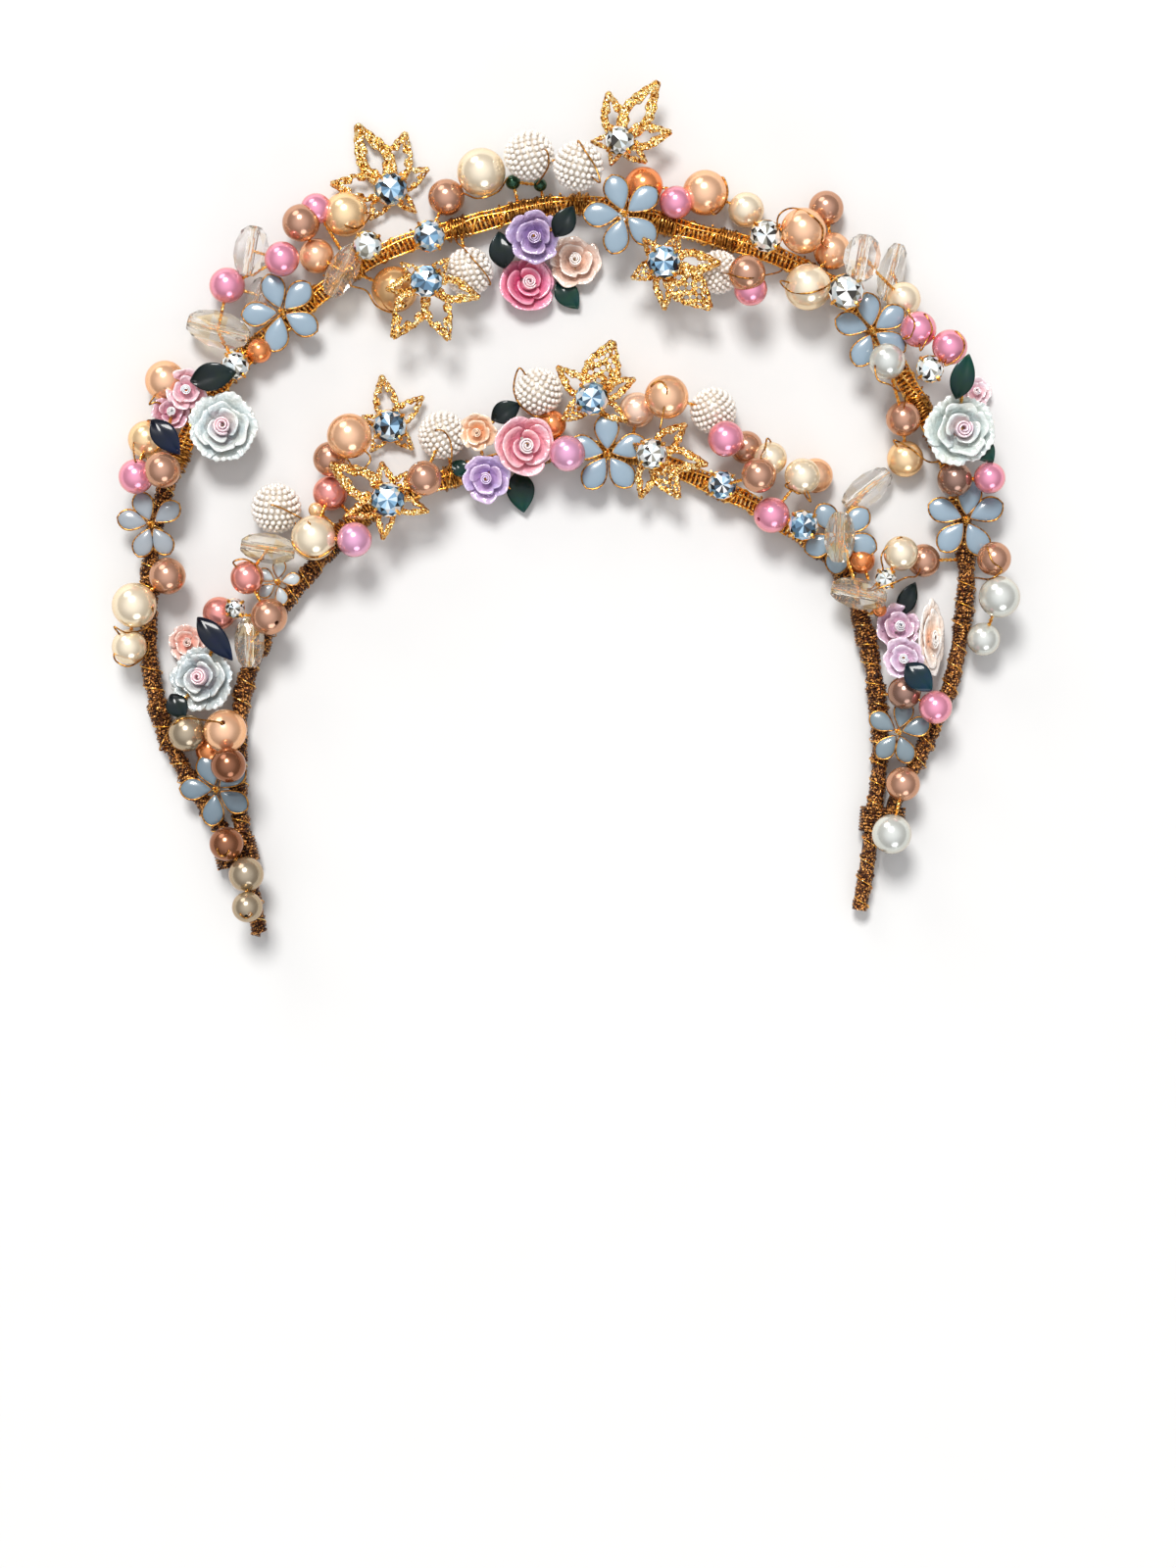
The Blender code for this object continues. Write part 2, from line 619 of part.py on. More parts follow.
def build():
    """Makes the bands, settles every ornament and fuses each node."""
    for item in list(bpy.data.objects):
        bpy.data.objects.remove(item, do_unlink=True)
    bpy.context.scene.collection.children.link(bpy.data.collections.new("pearl_headband"))
    cord = finish_of("wound_cord", (0.35, 0.17, 0.05), 0.5, 0.7)
    finishes = [
        (SPRAYS, finish_of("pearl", (0.85, 0.7, 0.55), 0.2)),
        (FLOWERS, finish_of("enamel", (0.42, 0.52, 0.62), 0.25)),
        (LEAVES, finish_of("gilt_filigree", (0.8, 0.5, 0.15), 0.3, 1.0)),
        (ROSES, finish_of("glazed_ceramic", (0.8, 0.6, 0.65), 0.2)),
    ]
    make_band("outer_band", OUTER_ROUTE, cord)
    make_band("inner_band", INNER_ROUTE, cord)
    for name, centre in BINDING_SPOTS.items():
        make_binding(name, centre, cord)
    queue = [(piece.layer, name, piece) for table, _ in finishes
             for name, pieces in table.items() for piece in pieces]
    for _, name, piece in sorted(queue, key=lambda row: row[0]):
        settle(piece, name)
    for table, finish in finishes:
        for name, pieces in table.items():
            make_node(name, pieces, finish)


build()
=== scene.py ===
"""Looks of the double-arch pearl headband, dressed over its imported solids."""

import math
import random
from collections import defaultdict

import bpy
from mathutils import Matrix, Vector, noise


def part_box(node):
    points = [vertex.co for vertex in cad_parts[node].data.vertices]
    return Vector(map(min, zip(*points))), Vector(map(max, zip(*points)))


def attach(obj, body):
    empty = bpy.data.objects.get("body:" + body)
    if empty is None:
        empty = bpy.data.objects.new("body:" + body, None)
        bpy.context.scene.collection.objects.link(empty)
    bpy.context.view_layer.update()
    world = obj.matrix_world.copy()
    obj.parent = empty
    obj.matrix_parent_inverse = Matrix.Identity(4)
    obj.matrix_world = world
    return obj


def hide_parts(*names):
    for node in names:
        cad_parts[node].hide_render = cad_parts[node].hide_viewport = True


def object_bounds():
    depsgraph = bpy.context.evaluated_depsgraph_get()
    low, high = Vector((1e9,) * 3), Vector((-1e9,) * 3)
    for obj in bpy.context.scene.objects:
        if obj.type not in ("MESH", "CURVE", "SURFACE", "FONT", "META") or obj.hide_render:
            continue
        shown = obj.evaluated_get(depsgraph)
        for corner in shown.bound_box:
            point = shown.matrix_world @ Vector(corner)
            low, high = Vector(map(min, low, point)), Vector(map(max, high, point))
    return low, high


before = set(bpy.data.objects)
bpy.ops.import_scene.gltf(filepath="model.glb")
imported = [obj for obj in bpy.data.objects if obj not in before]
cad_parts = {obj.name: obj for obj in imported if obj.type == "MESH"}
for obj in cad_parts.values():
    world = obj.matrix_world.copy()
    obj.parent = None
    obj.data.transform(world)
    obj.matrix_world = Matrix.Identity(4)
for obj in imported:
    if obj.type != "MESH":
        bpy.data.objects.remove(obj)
solid_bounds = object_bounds()
bpy.ops.object.select_all(action="DESELECT")

# The table is a plain pale board that the headband lies on, back down, under soft lamps.
# The camera looks straight down at it, as the photograph looks at the wearer's front.
MM = 0.001
PIXELS_PER_MM = 4.6
MIDDLE_PX = (576.5, 519.3)
VIEW_HEIGHT = 1600 / PIXELS_PER_MM * MM
CAMERA_HEIGHT = 1.008
SHARP_HEIGHT = 0.008
CAMERA_SENSOR = 36


def spot(px, py, z=0.0):
    """A pixel of the 1200 by 1600 photograph as a place over the table."""
    right, up = px - MIDDLE_PX[0], MIDDLE_PX[1] - py
    return Vector((right / PIXELS_PER_MM * MM, up / PIXELS_PER_MM * MM, z))


class Shade:
    """A socket of a material's nodes; arithmetic on it adds the nodes that work it out."""

    def __init__(self, tree, socket=None):
        self.tree = tree
        self.socket = socket

    def feed(self, socket, value):
        """Links a shade to a socket, or sets the socket's own value."""
        if isinstance(value, Shade):
            self.tree.links.new(value.socket, socket)
        elif socket.type == "RGBA":
            colour = value if isinstance(value, tuple) else (value, value, value)
            socket.default_value = (*colour, 1.0)
        else:
            socket.default_value = value

    def node(self, kind, settings, values, output=0):
        """Adds a node: its settings first, then what its sockets hold."""
        node = self.tree.nodes.new("ShaderNode" + kind)
        for name, value in settings.items():
            if name == "stops":
                stops = node.color_ramp.elements
                while len(stops) < len(value):
                    stops.new(1.0)
                for stop, (place, colour) in zip(stops, value):
                    stop.position = place
                    stop.color = (*colour, 1.0)
            else:
                setattr(node, name, value)
        for name, value in values.items():
            self.feed(node.inputs[name], value)
        return Shade(self.tree, node.outputs[output])

    def combine(self, operation, first, second):
        """Adds the node for a sum, a difference or a product of shades and numbers."""
        kinds = [item.socket.type for item in (first, second) if isinstance(item, Shade)]
        if "RGBA" in kinds:
            return self.node("Mix", {"data_type": "RGBA", "blend_type": operation},
                             {0: 1.0, 6: first, 7: second}, 2)
        return self.node("Math", {"operation": operation}, {0: first, 1: second})

    def __add__(self, other):
        return self.combine("ADD", self, other)

    def __rsub__(self, other):
        return self.combine("SUBTRACT", other, self)

    def __mul__(self, other):
        return self.combine("MULTIPLY", self, other)

    __rmul__ = __mul__

    def blend(self, first, second):
        """A colour that goes from the first to the second as this shade goes from 0 to 1."""
        return self.node("Mix", {"data_type": "RGBA"}, {0: self, 6: first, 7: second}, 2)

    def grain(self, size, detail=2.0):
        """Soft noise over the piece, with features of about a size in metres."""
        place = self.node("TexCoord", {}, {}, 3)
        return self.node("TexNoise", {}, {"Vector": place, "Scale": 1 / size, "Detail": detail})

    def cells(self, size, output=0):
        """Voronoi cells of a size in metres: their distance, or their random colour as output 1."""
        place = self.node("TexCoord", {}, {}, 3)
        return self.node("TexVoronoi", {}, {"Vector": place, "Scale": 1 / size}, output)

    def ramp(self, *stops):
        """A colour read from this shade along a ramp of places and colours."""
        return self.node("ValToRGB", {"stops": stops}, {"Fac": self})

    def attribute(self, name):
        """A colour that a piece carries on its own vertices."""
        return self.node("Attribute", {"attribute_name": name}, {})

    def bump(self, height, distance):
        """A normal that leans with a height."""
        return self.node("Bump", {}, {"Height": height, "Distance": distance, "Strength": 1.0})


def finish(name, sockets):
    """A material whose shader takes what sockets gives from a shade of its own tree."""
    material = bpy.data.materials.new(name)
    material.use_nodes = True
    shader = material.node_tree.nodes["Principled BSDF"]
    here = Shade(material.node_tree)
    for socket, value in sockets(here).items():
        here.feed(shader.inputs[socket], value)
    return material


def far_lamp(name, towards, spread, strength, colour):
    """A distant soft lamp that shines from a direction over the whole table."""
    bpy.ops.object.light_add(type="SUN", location=Vector(towards))
    lamp = bpy.context.object
    lamp.name = name
    lamp.rotation_euler = Vector(towards).to_track_quat("Z", "Y").to_euler()
    lamp.data.angle = math.radians(spread)
    lamp.data.energy = strength
    lamp.data.color = colour


bpy.ops.mesh.primitive_plane_add(size=4.0, location=(0, 0, -0.0004))
table = bpy.context.object
table.name = "table"
table.data.materials.append(finish("pale_board", lambda here: {
    "Base Color": here.grain(0.02).blend((0.70, 0.705, 0.71), (0.685, 0.69, 0.695)),
    "Roughness": 0.55}))

bpy.ops.object.camera_add(location=spot(600, 800, CAMERA_HEIGHT))
camera = bpy.context.object
camera.data.lens = CAMERA_SENSOR * (CAMERA_HEIGHT - SHARP_HEIGHT) / VIEW_HEIGHT
bpy.context.scene.camera = camera
bpy.context.scene.view_settings.view_transform = "Standard"

far_lamp("key_lamp", (-0.12, 0.5, 0.85), 18, 2.7, (1.0, 0.985, 0.96))
far_lamp("window", (-0.5, 0.9, 0.45), 30, 0.6, (1.0, 0.97, 0.93))
far_lamp("low_fill", (0.25, -0.9, 0.4), 30, 0.6, (0.94, 0.97, 1.0))
world = bpy.data.worlds.new("room")
world.use_nodes = True
sky = Shade(world.node_tree)
lift = sky.node("SeparateXYZ", {}, {0: sky.node("TexCoord", {}, {})}, 2)
sky.feed(world.node_tree.nodes["Background"].inputs["Color"], lift.ramp(
    (0.0, (0.42, 0.41, 0.41)), (0.12, (0.27, 0.24, 0.22)), (0.5, (0.32, 0.29, 0.27)),
    (0.8, (0.85, 0.85, 0.85)), (1.0, (1.3, 1.3, 1.32))))
world.node_tree.nodes["Background"].inputs["Strength"].default_value = 0.8
bpy.context.scene.world = world

# The two arches: a stiff wire core bound with glittering brown cord up the sides, and over the
# top with bright gilt wire, laid turn against turn. Short gilt threads cross the cord.
BAND_DIAMETER = 4.4 * MM
BAND_HEIGHT = 3.3 * MM
ROUTE_STEP = 1.0 * MM
OUTER_ROUTE = [
    (233, 886, 0.75), (225, 850, 0.8), (203, 814, 0.95), (186, 787, 1), (163, 732, 1), (150, 660, 1),
    (155, 545, 1), (180, 465, 1), (227, 385, 1), (300, 318, 1), (385, 258, 1), (480, 227, 1),
    (590, 206, 1), (700, 232, 1), (800, 262, 1), (880, 316, 1), (933, 400, 1), (972, 480, 1),
    (988, 580, 1), (975, 685, 1), (950, 750, 1), (924, 801, 0.85), (914, 820, 0.75), (910, 846, 0.7),
]
INNER_ROUTE = [
    (264, 956, 0.8), (256, 915, 0.9), (248, 870, 0.9), (243, 825, 0.95), (241, 765, 1), (249, 695, 1),
    (272, 640, 1), (316, 581, 1), (380, 517, 1), (465, 484, 1), (560, 459, 1), (650, 463, 1),
    (725, 492, 1), (800, 532, 1), (858, 580, 1), (885, 650, 1), (897, 718, 1), (899, 780, 0.95),
    (892, 835, 0.85), (886, 885, 0.9), (878, 930, 0.8),
]
FINE_STEPS = 200
LUMP_SIZE = 4.5 * MM
LUMPY_BELOW = spot(0, 560).y
CORD_LUMPS = 0.5
GILT_LUMPS = 0.12
WOBBLE_SIZE = 2.6 * MM
UP = Vector((0, 0, 1))


def curve_through(rows, steps):
    """Smooth curve through a list of vectors, with steps between each and the next."""
    rows = [2 * rows[0] - rows[1]] + rows + [2 * rows[-1] - rows[-2]]
    curve = []
    for before, start, end, after in zip(rows, rows[1:], rows[2:], rows[3:]):
        for step in range(steps):
            t = step / steps
            curve.append(0.5 * (2 * start + (end - before) * t
                                + (2 * before - 5 * start + 4 * end - after) * t ** 2
                                + (3 * start - before - 3 * end + after) * t ** 3))
    return curve + [rows[-2]]


def even_route(rows):
    """Places and thickness shares a step apart on the smooth curve through an arch's rows."""
    curve = curve_through([Vector((*spot(px, py).xy, share)) for px, py, share in rows], FINE_STEPS)
    even = [curve[0]]
    for row in curve:
        if (row.xy - even[-1].xy).length >= ROUTE_STEP:
            even.append(row)
    route = []
    for row in even:
        lumps = CORD_LUMPS if row.y < LUMPY_BELOW else GILT_LUMPS
        share = row.z * (1 + lumps * noise.noise(row / LUMP_SIZE))
        route.append((Vector((row.x, row.y, BAND_HEIGHT)), share))
    return route


def station(route, distance):
    """Place, sideways direction and thickness share of an arch at a distance along it."""
    number = max(0, min(int(distance / ROUTE_STEP), len(route) - 2))
    (start, share), (end, next_share) = route[number], route[number + 1]
    part = distance / ROUTE_STEP - number
    run = (end - start).normalized()
    return start.lerp(end, part), Vector((-run.y, run.x, 0)), share + (next_share - share) * part


def winding(route, start, end, radius, pitch, turns_per=10, wobble=0.0, seed=0.0):
    """Run of a wire wound round an arch between two distances along it."""
    run = []
    steps = int(abs((end - start) / pitch) * turns_per)
    for step in range(steps + 1):
        distance = start + (end - start) * step / steps
        place, side, share = station(route, distance)
        angle = math.tau * step / turns_per * (1 if pitch > 0 else -1)
        grit = Vector((distance / WOBBLE_SIZE, 0.5 * math.cos(angle) + seed, 0.5 * math.sin(angle)))
        reach = radius * share * (1 + wobble * noise.noise(grit))
        run.append(place + side * reach * math.cos(angle) + UP * reach * math.sin(angle))
    return run


def kept_inside(place, margin):
    """The place, or the nearest one that is a margin inside the solids' box."""
    return Vector([max(low + margin, min(high - margin, part))
                   for part, low, high in zip(place, *solid_bounds)])


def wires(name, runs, thickness, material, roundness=1, closed=False):
    """Round wires, one along each run of places, as one mesh."""
    bpy.ops.curve.primitive_nurbs_path_add()
    bent = bpy.context.object
    bent.name = name
    bent.data.splines.clear()
    bent.data.bevel_depth = thickness / 2
    bent.data.bevel_resolution = roundness
    bent.data.use_fill_caps = not closed
    for run in runs:
        spline = bent.data.splines.new("POLY")
        spline.points.add(len(run) - 1)
        spline.use_cyclic_u = closed
        for row, place in zip(spline.points, run):
            row.co = (*kept_inside(place, 0.52 * thickness), 1.0)
    bpy.ops.object.convert(target="MESH")
    bpy.ops.object.shade_smooth()
    bent.data.materials.append(material)
    bent.select_set(False)
    return bent


def joined(name, members):
    """Joins meshes into one that has a name."""
    bpy.ops.object.select_all(action="DESELECT")
    for member in members:
        member.select_set(True)
    piece = members[0]
    bpy.context.view_layer.objects.active = piece
    if len(members) > 1:
        bpy.ops.object.join()
    piece.name = name
    piece.data.name = name
    piece.select_set(False)
    return piece


def assemble(name, members, slot, *nodes):
    """Joins meshes into one named piece of the headband that stands for its solids."""
    piece = joined(name, members)
    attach(piece, "root")
    if nodes:
        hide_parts(*nodes)


gilt_wire = finish("gilt_wire", lambda here: {
    "Base Color": here.grain(0.7 * MM).ramp(
        (0.34, (0.55, 0.17, 0.012)), (0.50, (1.0, 0.47, 0.06)), (0.68, (1.0, 0.80, 0.36))),
    "Metallic": 0.9,
    "Roughness": 0.24})
glitter_cord = finish("glitter_cord", lambda here: {
    "Base Color": here.cells(0.3 * MM, 1).ramp(
        (0.30, (0.018, 0.005, 0.002)), (0.62, (0.12, 0.030, 0.007)), (0.80, (1.0, 0.46, 0.12))),
    "Metallic": 0.6,
    "Roughness": 0.34,
    "Normal": here.bump(here.cells(0.36 * MM), 0.25 * MM)})

outer_route = even_route(OUTER_ROUTE)
inner_route = even_route(INNER_ROUTE)
CORD_HIGHER_LEFT = 9 * MM
CORD_INSET = 0.8 * MM


def bound_arch(name, route, cord_below, node):
    """Dresses one arch: core, cord up to a height on each side, and gilt wire over the top."""
    length = (len(route) - 1) * ROUTE_STEP
    gilded = [number for number, (place, _) in enumerate(route)
              if place.y >= cord_below + (CORD_HIGHER_LEFT if place.x < 0 else 0)]
    left_end, right_start = gilded[0] * ROUTE_STEP, gilded[-1] * ROUTE_STEP
    radius = BAND_DIAMETER / 2
    members = [wires("core", [[place for place, _ in route]], 1.5 * radius, glitter_cord, 2)]
    cords = []
    strands = []
    threads = []
    for start, end in ((CORD_INSET, left_end), (right_start, length - CORD_INSET)):
        cords.append(winding(route, start, end, 0.74 * radius, 2.9 * MM, 13, 0.22, start))
        cords.append(winding(route, start, end, 0.74 * radius, -3.3 * MM, 13, 0.22, end))
        strands.append(winding(route, start, end, 0.72 * radius, 0.92 * MM, 10, 0.1, end + 5))
        threads.append(winding(route, start, end, 0.98 * radius, -4.3 * MM, 14, 0.12, end))
    members.append(wires("cord", cords, 0.8 * MM, glitter_cord))
    members.append(wires("strand", strands, 0.85 * MM, glitter_cord))
    members.append(wires("thread", threads, 0.26 * MM, gilt_wire))
    over = 3 * MM
    turns = [winding(route, left_end - over, right_start + over, 0.84 * radius, 0.98 * MM, 10, 0.05),
             winding(route, left_end, right_start, radius, -6.3 * MM, 16, 0.08, 4)]
    members.append(wires("gilt", turns, 0.66 * MM, gilt_wire))
    rails = []
    for angle in (35, 75, 150):
        rail = []
        for number in range(int(left_end / ROUTE_STEP), int(right_start / ROUTE_STEP), 2):
            place, side, share = station(route, number * ROUTE_STEP)
            bearing = math.radians(angle + 34 * noise.noise(Vector((number * 0.11, angle, 0))))
            out = side * math.cos(bearing) + UP * math.sin(bearing)
            rail.append(place + share * 1.02 * radius * out)
        rails.append(rail)
    members.append(wires("rail", rails, 0.46 * MM, gilt_wire))
    assemble(name, members, "wound_cord", node)


bound_arch("outer_arch_winding", outer_route, spot(0, 500).y, "outer_band")
bound_arch("inner_arch_winding", inner_route, spot(0, 545).y, "inner_band")

# The two bindings tie the arches side by side near the ends, each a few turns of the same
# glittering cord drawn tight round both.
BINDING_TURNS = 8
BINDING_STEPS = 24 * BINDING_TURNS
BINDING_LENGTH = 5.6 * MM
BINDING_REACH = 2.75 * MM
for side, centre in (("left", (239, 869)), ("right", (902, 837))):
    middle = spot(*centre, BAND_HEIGHT)
    near = min((place for place, _ in inner_route), key=lambda place: (place - middle).length)
    beside = min((place for place, _ in outer_route), key=lambda place: (place - near).length)
    spread = (beside - near) / 2
    across = spread.normalized()
    along = Vector((-across.y, across.x, 0))
    middle = near + spread
    turn = []
    for step in range(BINDING_STEPS + 1):
        angle = math.tau * BINDING_TURNS * step / BINDING_STEPS
        shift = spread.length * (1 if math.cos(angle) > 0 else -1)
        turn.append(middle + across * (BINDING_REACH * math.cos(angle) + shift)
                    + UP * BINDING_REACH * math.sin(angle)
                    + along * (step / BINDING_STEPS - 0.5) * BINDING_LENGTH)
    cores = [[middle + spread * sign + along * share * MM for share in (-2.1, 0, 2.1)]
             for sign in (-1, 1)]
    assemble("binding_wire_" + side,
             [wires("turns", [turn], 0.62 * MM, glitter_cord),
              wires("inside", cores, 4.6 * MM, glitter_cord, 3)],
             "wound_cord", "end_binding_" + side)

# Pearls: glass beads under a nacre coat, drilled through, 7 to 11 mm across, in cream, peach,
# pink, violet and bronze. Each is threaded on gilt wire, and many show the drilled end.
CREAM = (0.94, 0.84, 0.66)
WHITE = (0.68, 0.72, 0.70)
# A cream darkened as painted shade, for the pearls low on the left of the inner arch.
CREAM_IN_PAINTED_SHADE = (0.44, 0.37, 0.27)
BLUSH = (0.96, 0.70, 0.56)
GOLD = (1.0, 0.74, 0.44)
HONEY = (0.82, 0.52, 0.25)
PEACH = (1.0, 0.62, 0.40)
CORAL = (1.0, 0.36, 0.13)
ROSE = (0.88, 0.36, 0.34)
PINK = (0.90, 0.36, 0.54)
VIOLET = (0.82, 0.42, 0.66)
BRONZE = (0.60, 0.335, 0.235)
COPPER = (0.30, 0.12, 0.06)
SMOKE = (0.34, 0.20, 0.16)
EMBER = (0.92, 0.34, 0.12)
MOSS = (0.02, 0.09, 0.05)
PEARLS = {
    "outer_spray_1": [(131, 660, 7.8, CREAM), (138, 618, 10, CREAM), (171, 588, 8.2, BRONZE)],
    "outer_spray_2": [(140, 487, 7.8, PINK), (169, 482, 8, BRONZE), (148, 447, 8.4, GOLD)],
    "outer_spray_3": [(231, 290, 8, PINK), (288, 265, 7.8, PINK)],
    "outer_spray_4": [(307, 227, 8.4, BRONZE), (352, 217, 10, GOLD), (322, 259, 7.8, PEACH),
                      (402, 294, 10.4, HONEY)],
    "outer_spray_5": [(455, 199, 8.2, BRONZE), (491, 175, 10.8, CREAM)],
    "outer_spray_6": [(657, 188, 8.6, CORAL), (720, 195, 10.2, PEACH), (762, 212, 8, CREAM)],
    "outer_spray_7": [(761, 283, 8.2, BRONZE), (765, 298, 7.4, PINK)],
    "outer_spray_8": [(819, 237, 10.2, PEACH), (844, 210, 7.8, BRONZE), (850, 254, 8.4, PEACH),
                      (824, 294, 10.4, CREAM)],
    "outer_spray_9": [(922, 305, 7.8, CREAM), (935, 339, 8, PINK), (966, 358, 7.8, PINK)],
    "outer_spray_10": [(903, 372, 8, WHITE), (922, 427, 7.8, BRONZE), (925, 467, 8.2, GOLD)],
    "outer_spray_11": [(973, 490, 7.8, SMOKE), (1008, 489, 7, PINK)],
    "outer_spray_12": [(1013, 571, 7.6, BRONZE), (1019, 610, 9.2, WHITE), (1004, 652, 7.4, WHITE)],
    "inner_spray_1": [(232, 861, 7.6, COPPER), (252, 892, 7.8, CREAM_IN_PAINTED_SHADE), (254, 925, 6.8, CREAM_IN_PAINTED_SHADE)],
    "inner_spray_2": [(191, 748, 8.3, CREAM_IN_PAINTED_SHADE), (231, 746, 9.6, PEACH), (236, 781, 7.8, COPPER)],
    "inner_spray_3": [(222, 625, 7.4, ROSE), (276, 630, 8.2, BRONZE), (253, 590, 7.4, ROSE)],
    "inner_spray_4": [(336, 502, 7.8, ROSE), (321, 550, 10, CREAM), (363, 552, 7.8, VIOLET)],
    "inner_spray_5": [(337, 468, 7.8, BRONZE), (358, 447, 10, PEACH)],
    "inner_spray_6": [(434, 490, 7.8, BRONZE)],
    "inner_spray_7": [(650, 417, 8, BLUSH), (680, 406, 9.8, PEACH)],
    "inner_spray_8": [(762, 455, 7.4, BRONZE), (786, 468, 7.4, CREAM), (740, 449, 8, PINK),
                      (773, 487, 7.8, BRONZE)],
    "inner_spray_9": [(833, 484, 7.8, PEACH), (818, 487, 8, CREAM), (787, 526, 8, PINK)],
    "inner_spray_12": [(919, 565, 7.8, CREAM), (944, 571, 7.4, BRONZE)],
    "inner_spray_13": [(922, 707, 7.4, SMOKE), (953, 722, 7.4, PINK)],
    "inner_spray_14": [(921, 800, 7.6, BRONZE), (909, 851, 8.8, WHITE)],
    "roses_outer_left": [(167, 387, 9, PEACH)],
    "roses_inner_centre": [(579, 464, 8, VIOLET)],
}
# Beads mostly hidden under the others, and last the height of their middles in mm.
TUCKED = [(690, 206, 7.4, PINK, 7.0), (213, 765, 6.6, EMBER, 4.2), (264, 357, 5.5, EMBER, 6.0),
          (322, 212, 7.0, PINK, 6.0), (880, 571, 6.0, EMBER, 4.6), (898, 622, 3.2, EMBER, 6.5),
          (563, 432, 6.4, CORAL, 5.0), (523, 183, 3.4, MOSS, 3.4), (551, 186, 3.0, MOSS, 3.4),
          (322, 520, 3.4, GOLD, 6.6)]
# Drilled ends that show: how far right and down of the pearl's middle, in pixels.
SHOWN_HOLES = {(276, 630): (9, 7), (231, 746): (-1, -8), (232, 861): (-1, 12), (254, 925): (0, 9),
               (787, 526): (-14, 5)}
INNER_BELOW_PX = 440
strung = defaultdict(list)


def choose(piece, test):
    """Opens a piece for editing with only the faces that pass a test selected."""
    bpy.context.view_layer.objects.active = piece
    bpy.ops.object.mode_set(mode="EDIT")
    bpy.ops.mesh.select_mode(type="FACE")
    bpy.ops.mesh.select_all(action="DESELECT")
    bpy.ops.object.mode_set(mode="OBJECT")
    for face in piece.data.polygons:
        face.select = test(face)
    bpy.ops.object.mode_set(mode="EDIT")


def cad_top(node, x, y, reach=0.3 * MM):
    """Height of the highest corner of a solid close to a place in the plan."""
    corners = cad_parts[node].data.vertices
    for widened in (reach, 1 * MM, 2 * MM, 3.5 * MM, 6 * MM):
        heights = [corner.co.z for corner in corners
                   if abs(corner.co.x - x) < widened and abs(corner.co.y - y) < widened]
        if heights:
            return max(heights)
    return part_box(node)[1].z


def every(table):
    """All rows of a table, each with its node in front."""
    return [(node, *row) for node, rows in table.items() for row in rows]


def seated(node, px, py, half, reach=0.3 * MM):
    """Place of a bead of a half height under the top of its solid, noted for its wires."""
    place = spot(px, py)
    place.z = cad_top(node, place.x, place.y, reach) - half
    strung[node].append((place, half))
    return place


def side_of(node):
    """The arch that a solid belongs to."""
    return "inner" if "inner" in node or node == "beaded_ball_left" else "outer"


def tinted(item, colour):
    """Writes one colour on every corner of a mesh, or on each face one drawn from a list."""
    tint = item.data.color_attributes.new("tint", "FLOAT_COLOR", "CORNER")
    for face in item.data.polygons:
        shade = draw.choice(colour) if isinstance(colour, list) else colour
        for corner in face.loop_indices:
            tint.data[corner].color = (*shade, 1.0)
    return item


def shaded(item, low, high, shares):
    """Tints a mesh between two colours, by a share for each of its corners."""
    tint = item.data.color_attributes.new("tint", "FLOAT_COLOR", "POINT")
    colours = []
    for share in shares:
        colours += [first + (last - first) * share for first, last in zip(low, high)] + [1.0]
    tint.data.foreach_set("color", colours)
    return item


def copy_of(model, matrix, colour=None):
    """Copy of a modelled piece with its own mesh, moved to its place."""
    item = bpy.data.objects.new(model.name + "_copy", model.data.copy())
    bpy.context.scene.collection.objects.link(item)
    item.data.transform(matrix)
    return tinted(item, colour) if colour else item


def facing(direction):
    """Turn that brings +Z to a direction."""
    return Vector(direction).to_track_quat("Z", "Y").to_matrix().to_4x4()


def pearl_with_painted_shade(item, place, radius, colour):
    """Tints a pearl with painted shade: its colour on the crown, darker and more saturated below."""
    warm = max(0.0, 1 - colour[2] / colour[0])
    painted_shade_colour = (colour[0], (1.0 - 0.25 * warm) * colour[1], (0.9 - 0.6 * warm) * colour[2])
    rises = [(corner.co.z - place.z) / radius for corner in item.data.vertices]
    return shaded(item, painted_shade_colour, colour, [max(0.0, min(1.0, (rise - 0.2) / 0.7)) for rise in rises])


def nacre_coat(here):
    """Nacre shines the more like metal, the darker its colour is."""
    own = here.attribute("tint")
    blue = here.node("SeparateColor", {}, {"Color": own}, 2)
    return {"Base Color": own * here.grain(3 * MM).blend((0.93, 0.93, 0.95), (1.05, 1.02, 1.0)),
            "Metallic": 0.80 - 0.42 * blue,
            "Roughness": here.grain(1.5 * MM) * 0.06 + 0.17,
            "Specular Tint": (0.95, 0.72, 0.58),
            "Coat Weight": 0.5,
            "Coat Roughness": 0.04}


PEARL_RINGS = 20
bpy.ops.mesh.primitive_uv_sphere_add(segments=36, ring_count=PEARL_RINGS, radius=1)
pearl = bpy.context.object
pearl.name = "pearl"
choose(pearl, lambda face: abs(face.center.z) > math.cos(math.pi / PEARL_RINGS * 0.9))
bpy.ops.mesh.delete(type="FACE")
bpy.ops.mesh.select_mode(type="EDGE")
bpy.ops.mesh.select_non_manifold()
bpy.ops.transform.resize(value=(0.8, 0.8, 1))
bpy.ops.mesh.bridge_edge_loops()
bpy.ops.mesh.select_all(action="SELECT")
bpy.ops.mesh.normals_make_consistent(inside=False)
bpy.ops.object.mode_set(mode="OBJECT")
bpy.ops.object.shade_smooth_by_angle(angle=math.radians(40))
pearl.select_set(False)
pearl.data.materials.append(finish("nacre", nacre_coat))
draw = random.Random(11)
strings = defaultdict(list)
rows = every(PEARLS)
rows += [("inner_spray" if py > INNER_BELOW_PX else "outer_spray", px, py, *rest)
         for px, py, *rest in TUCKED]
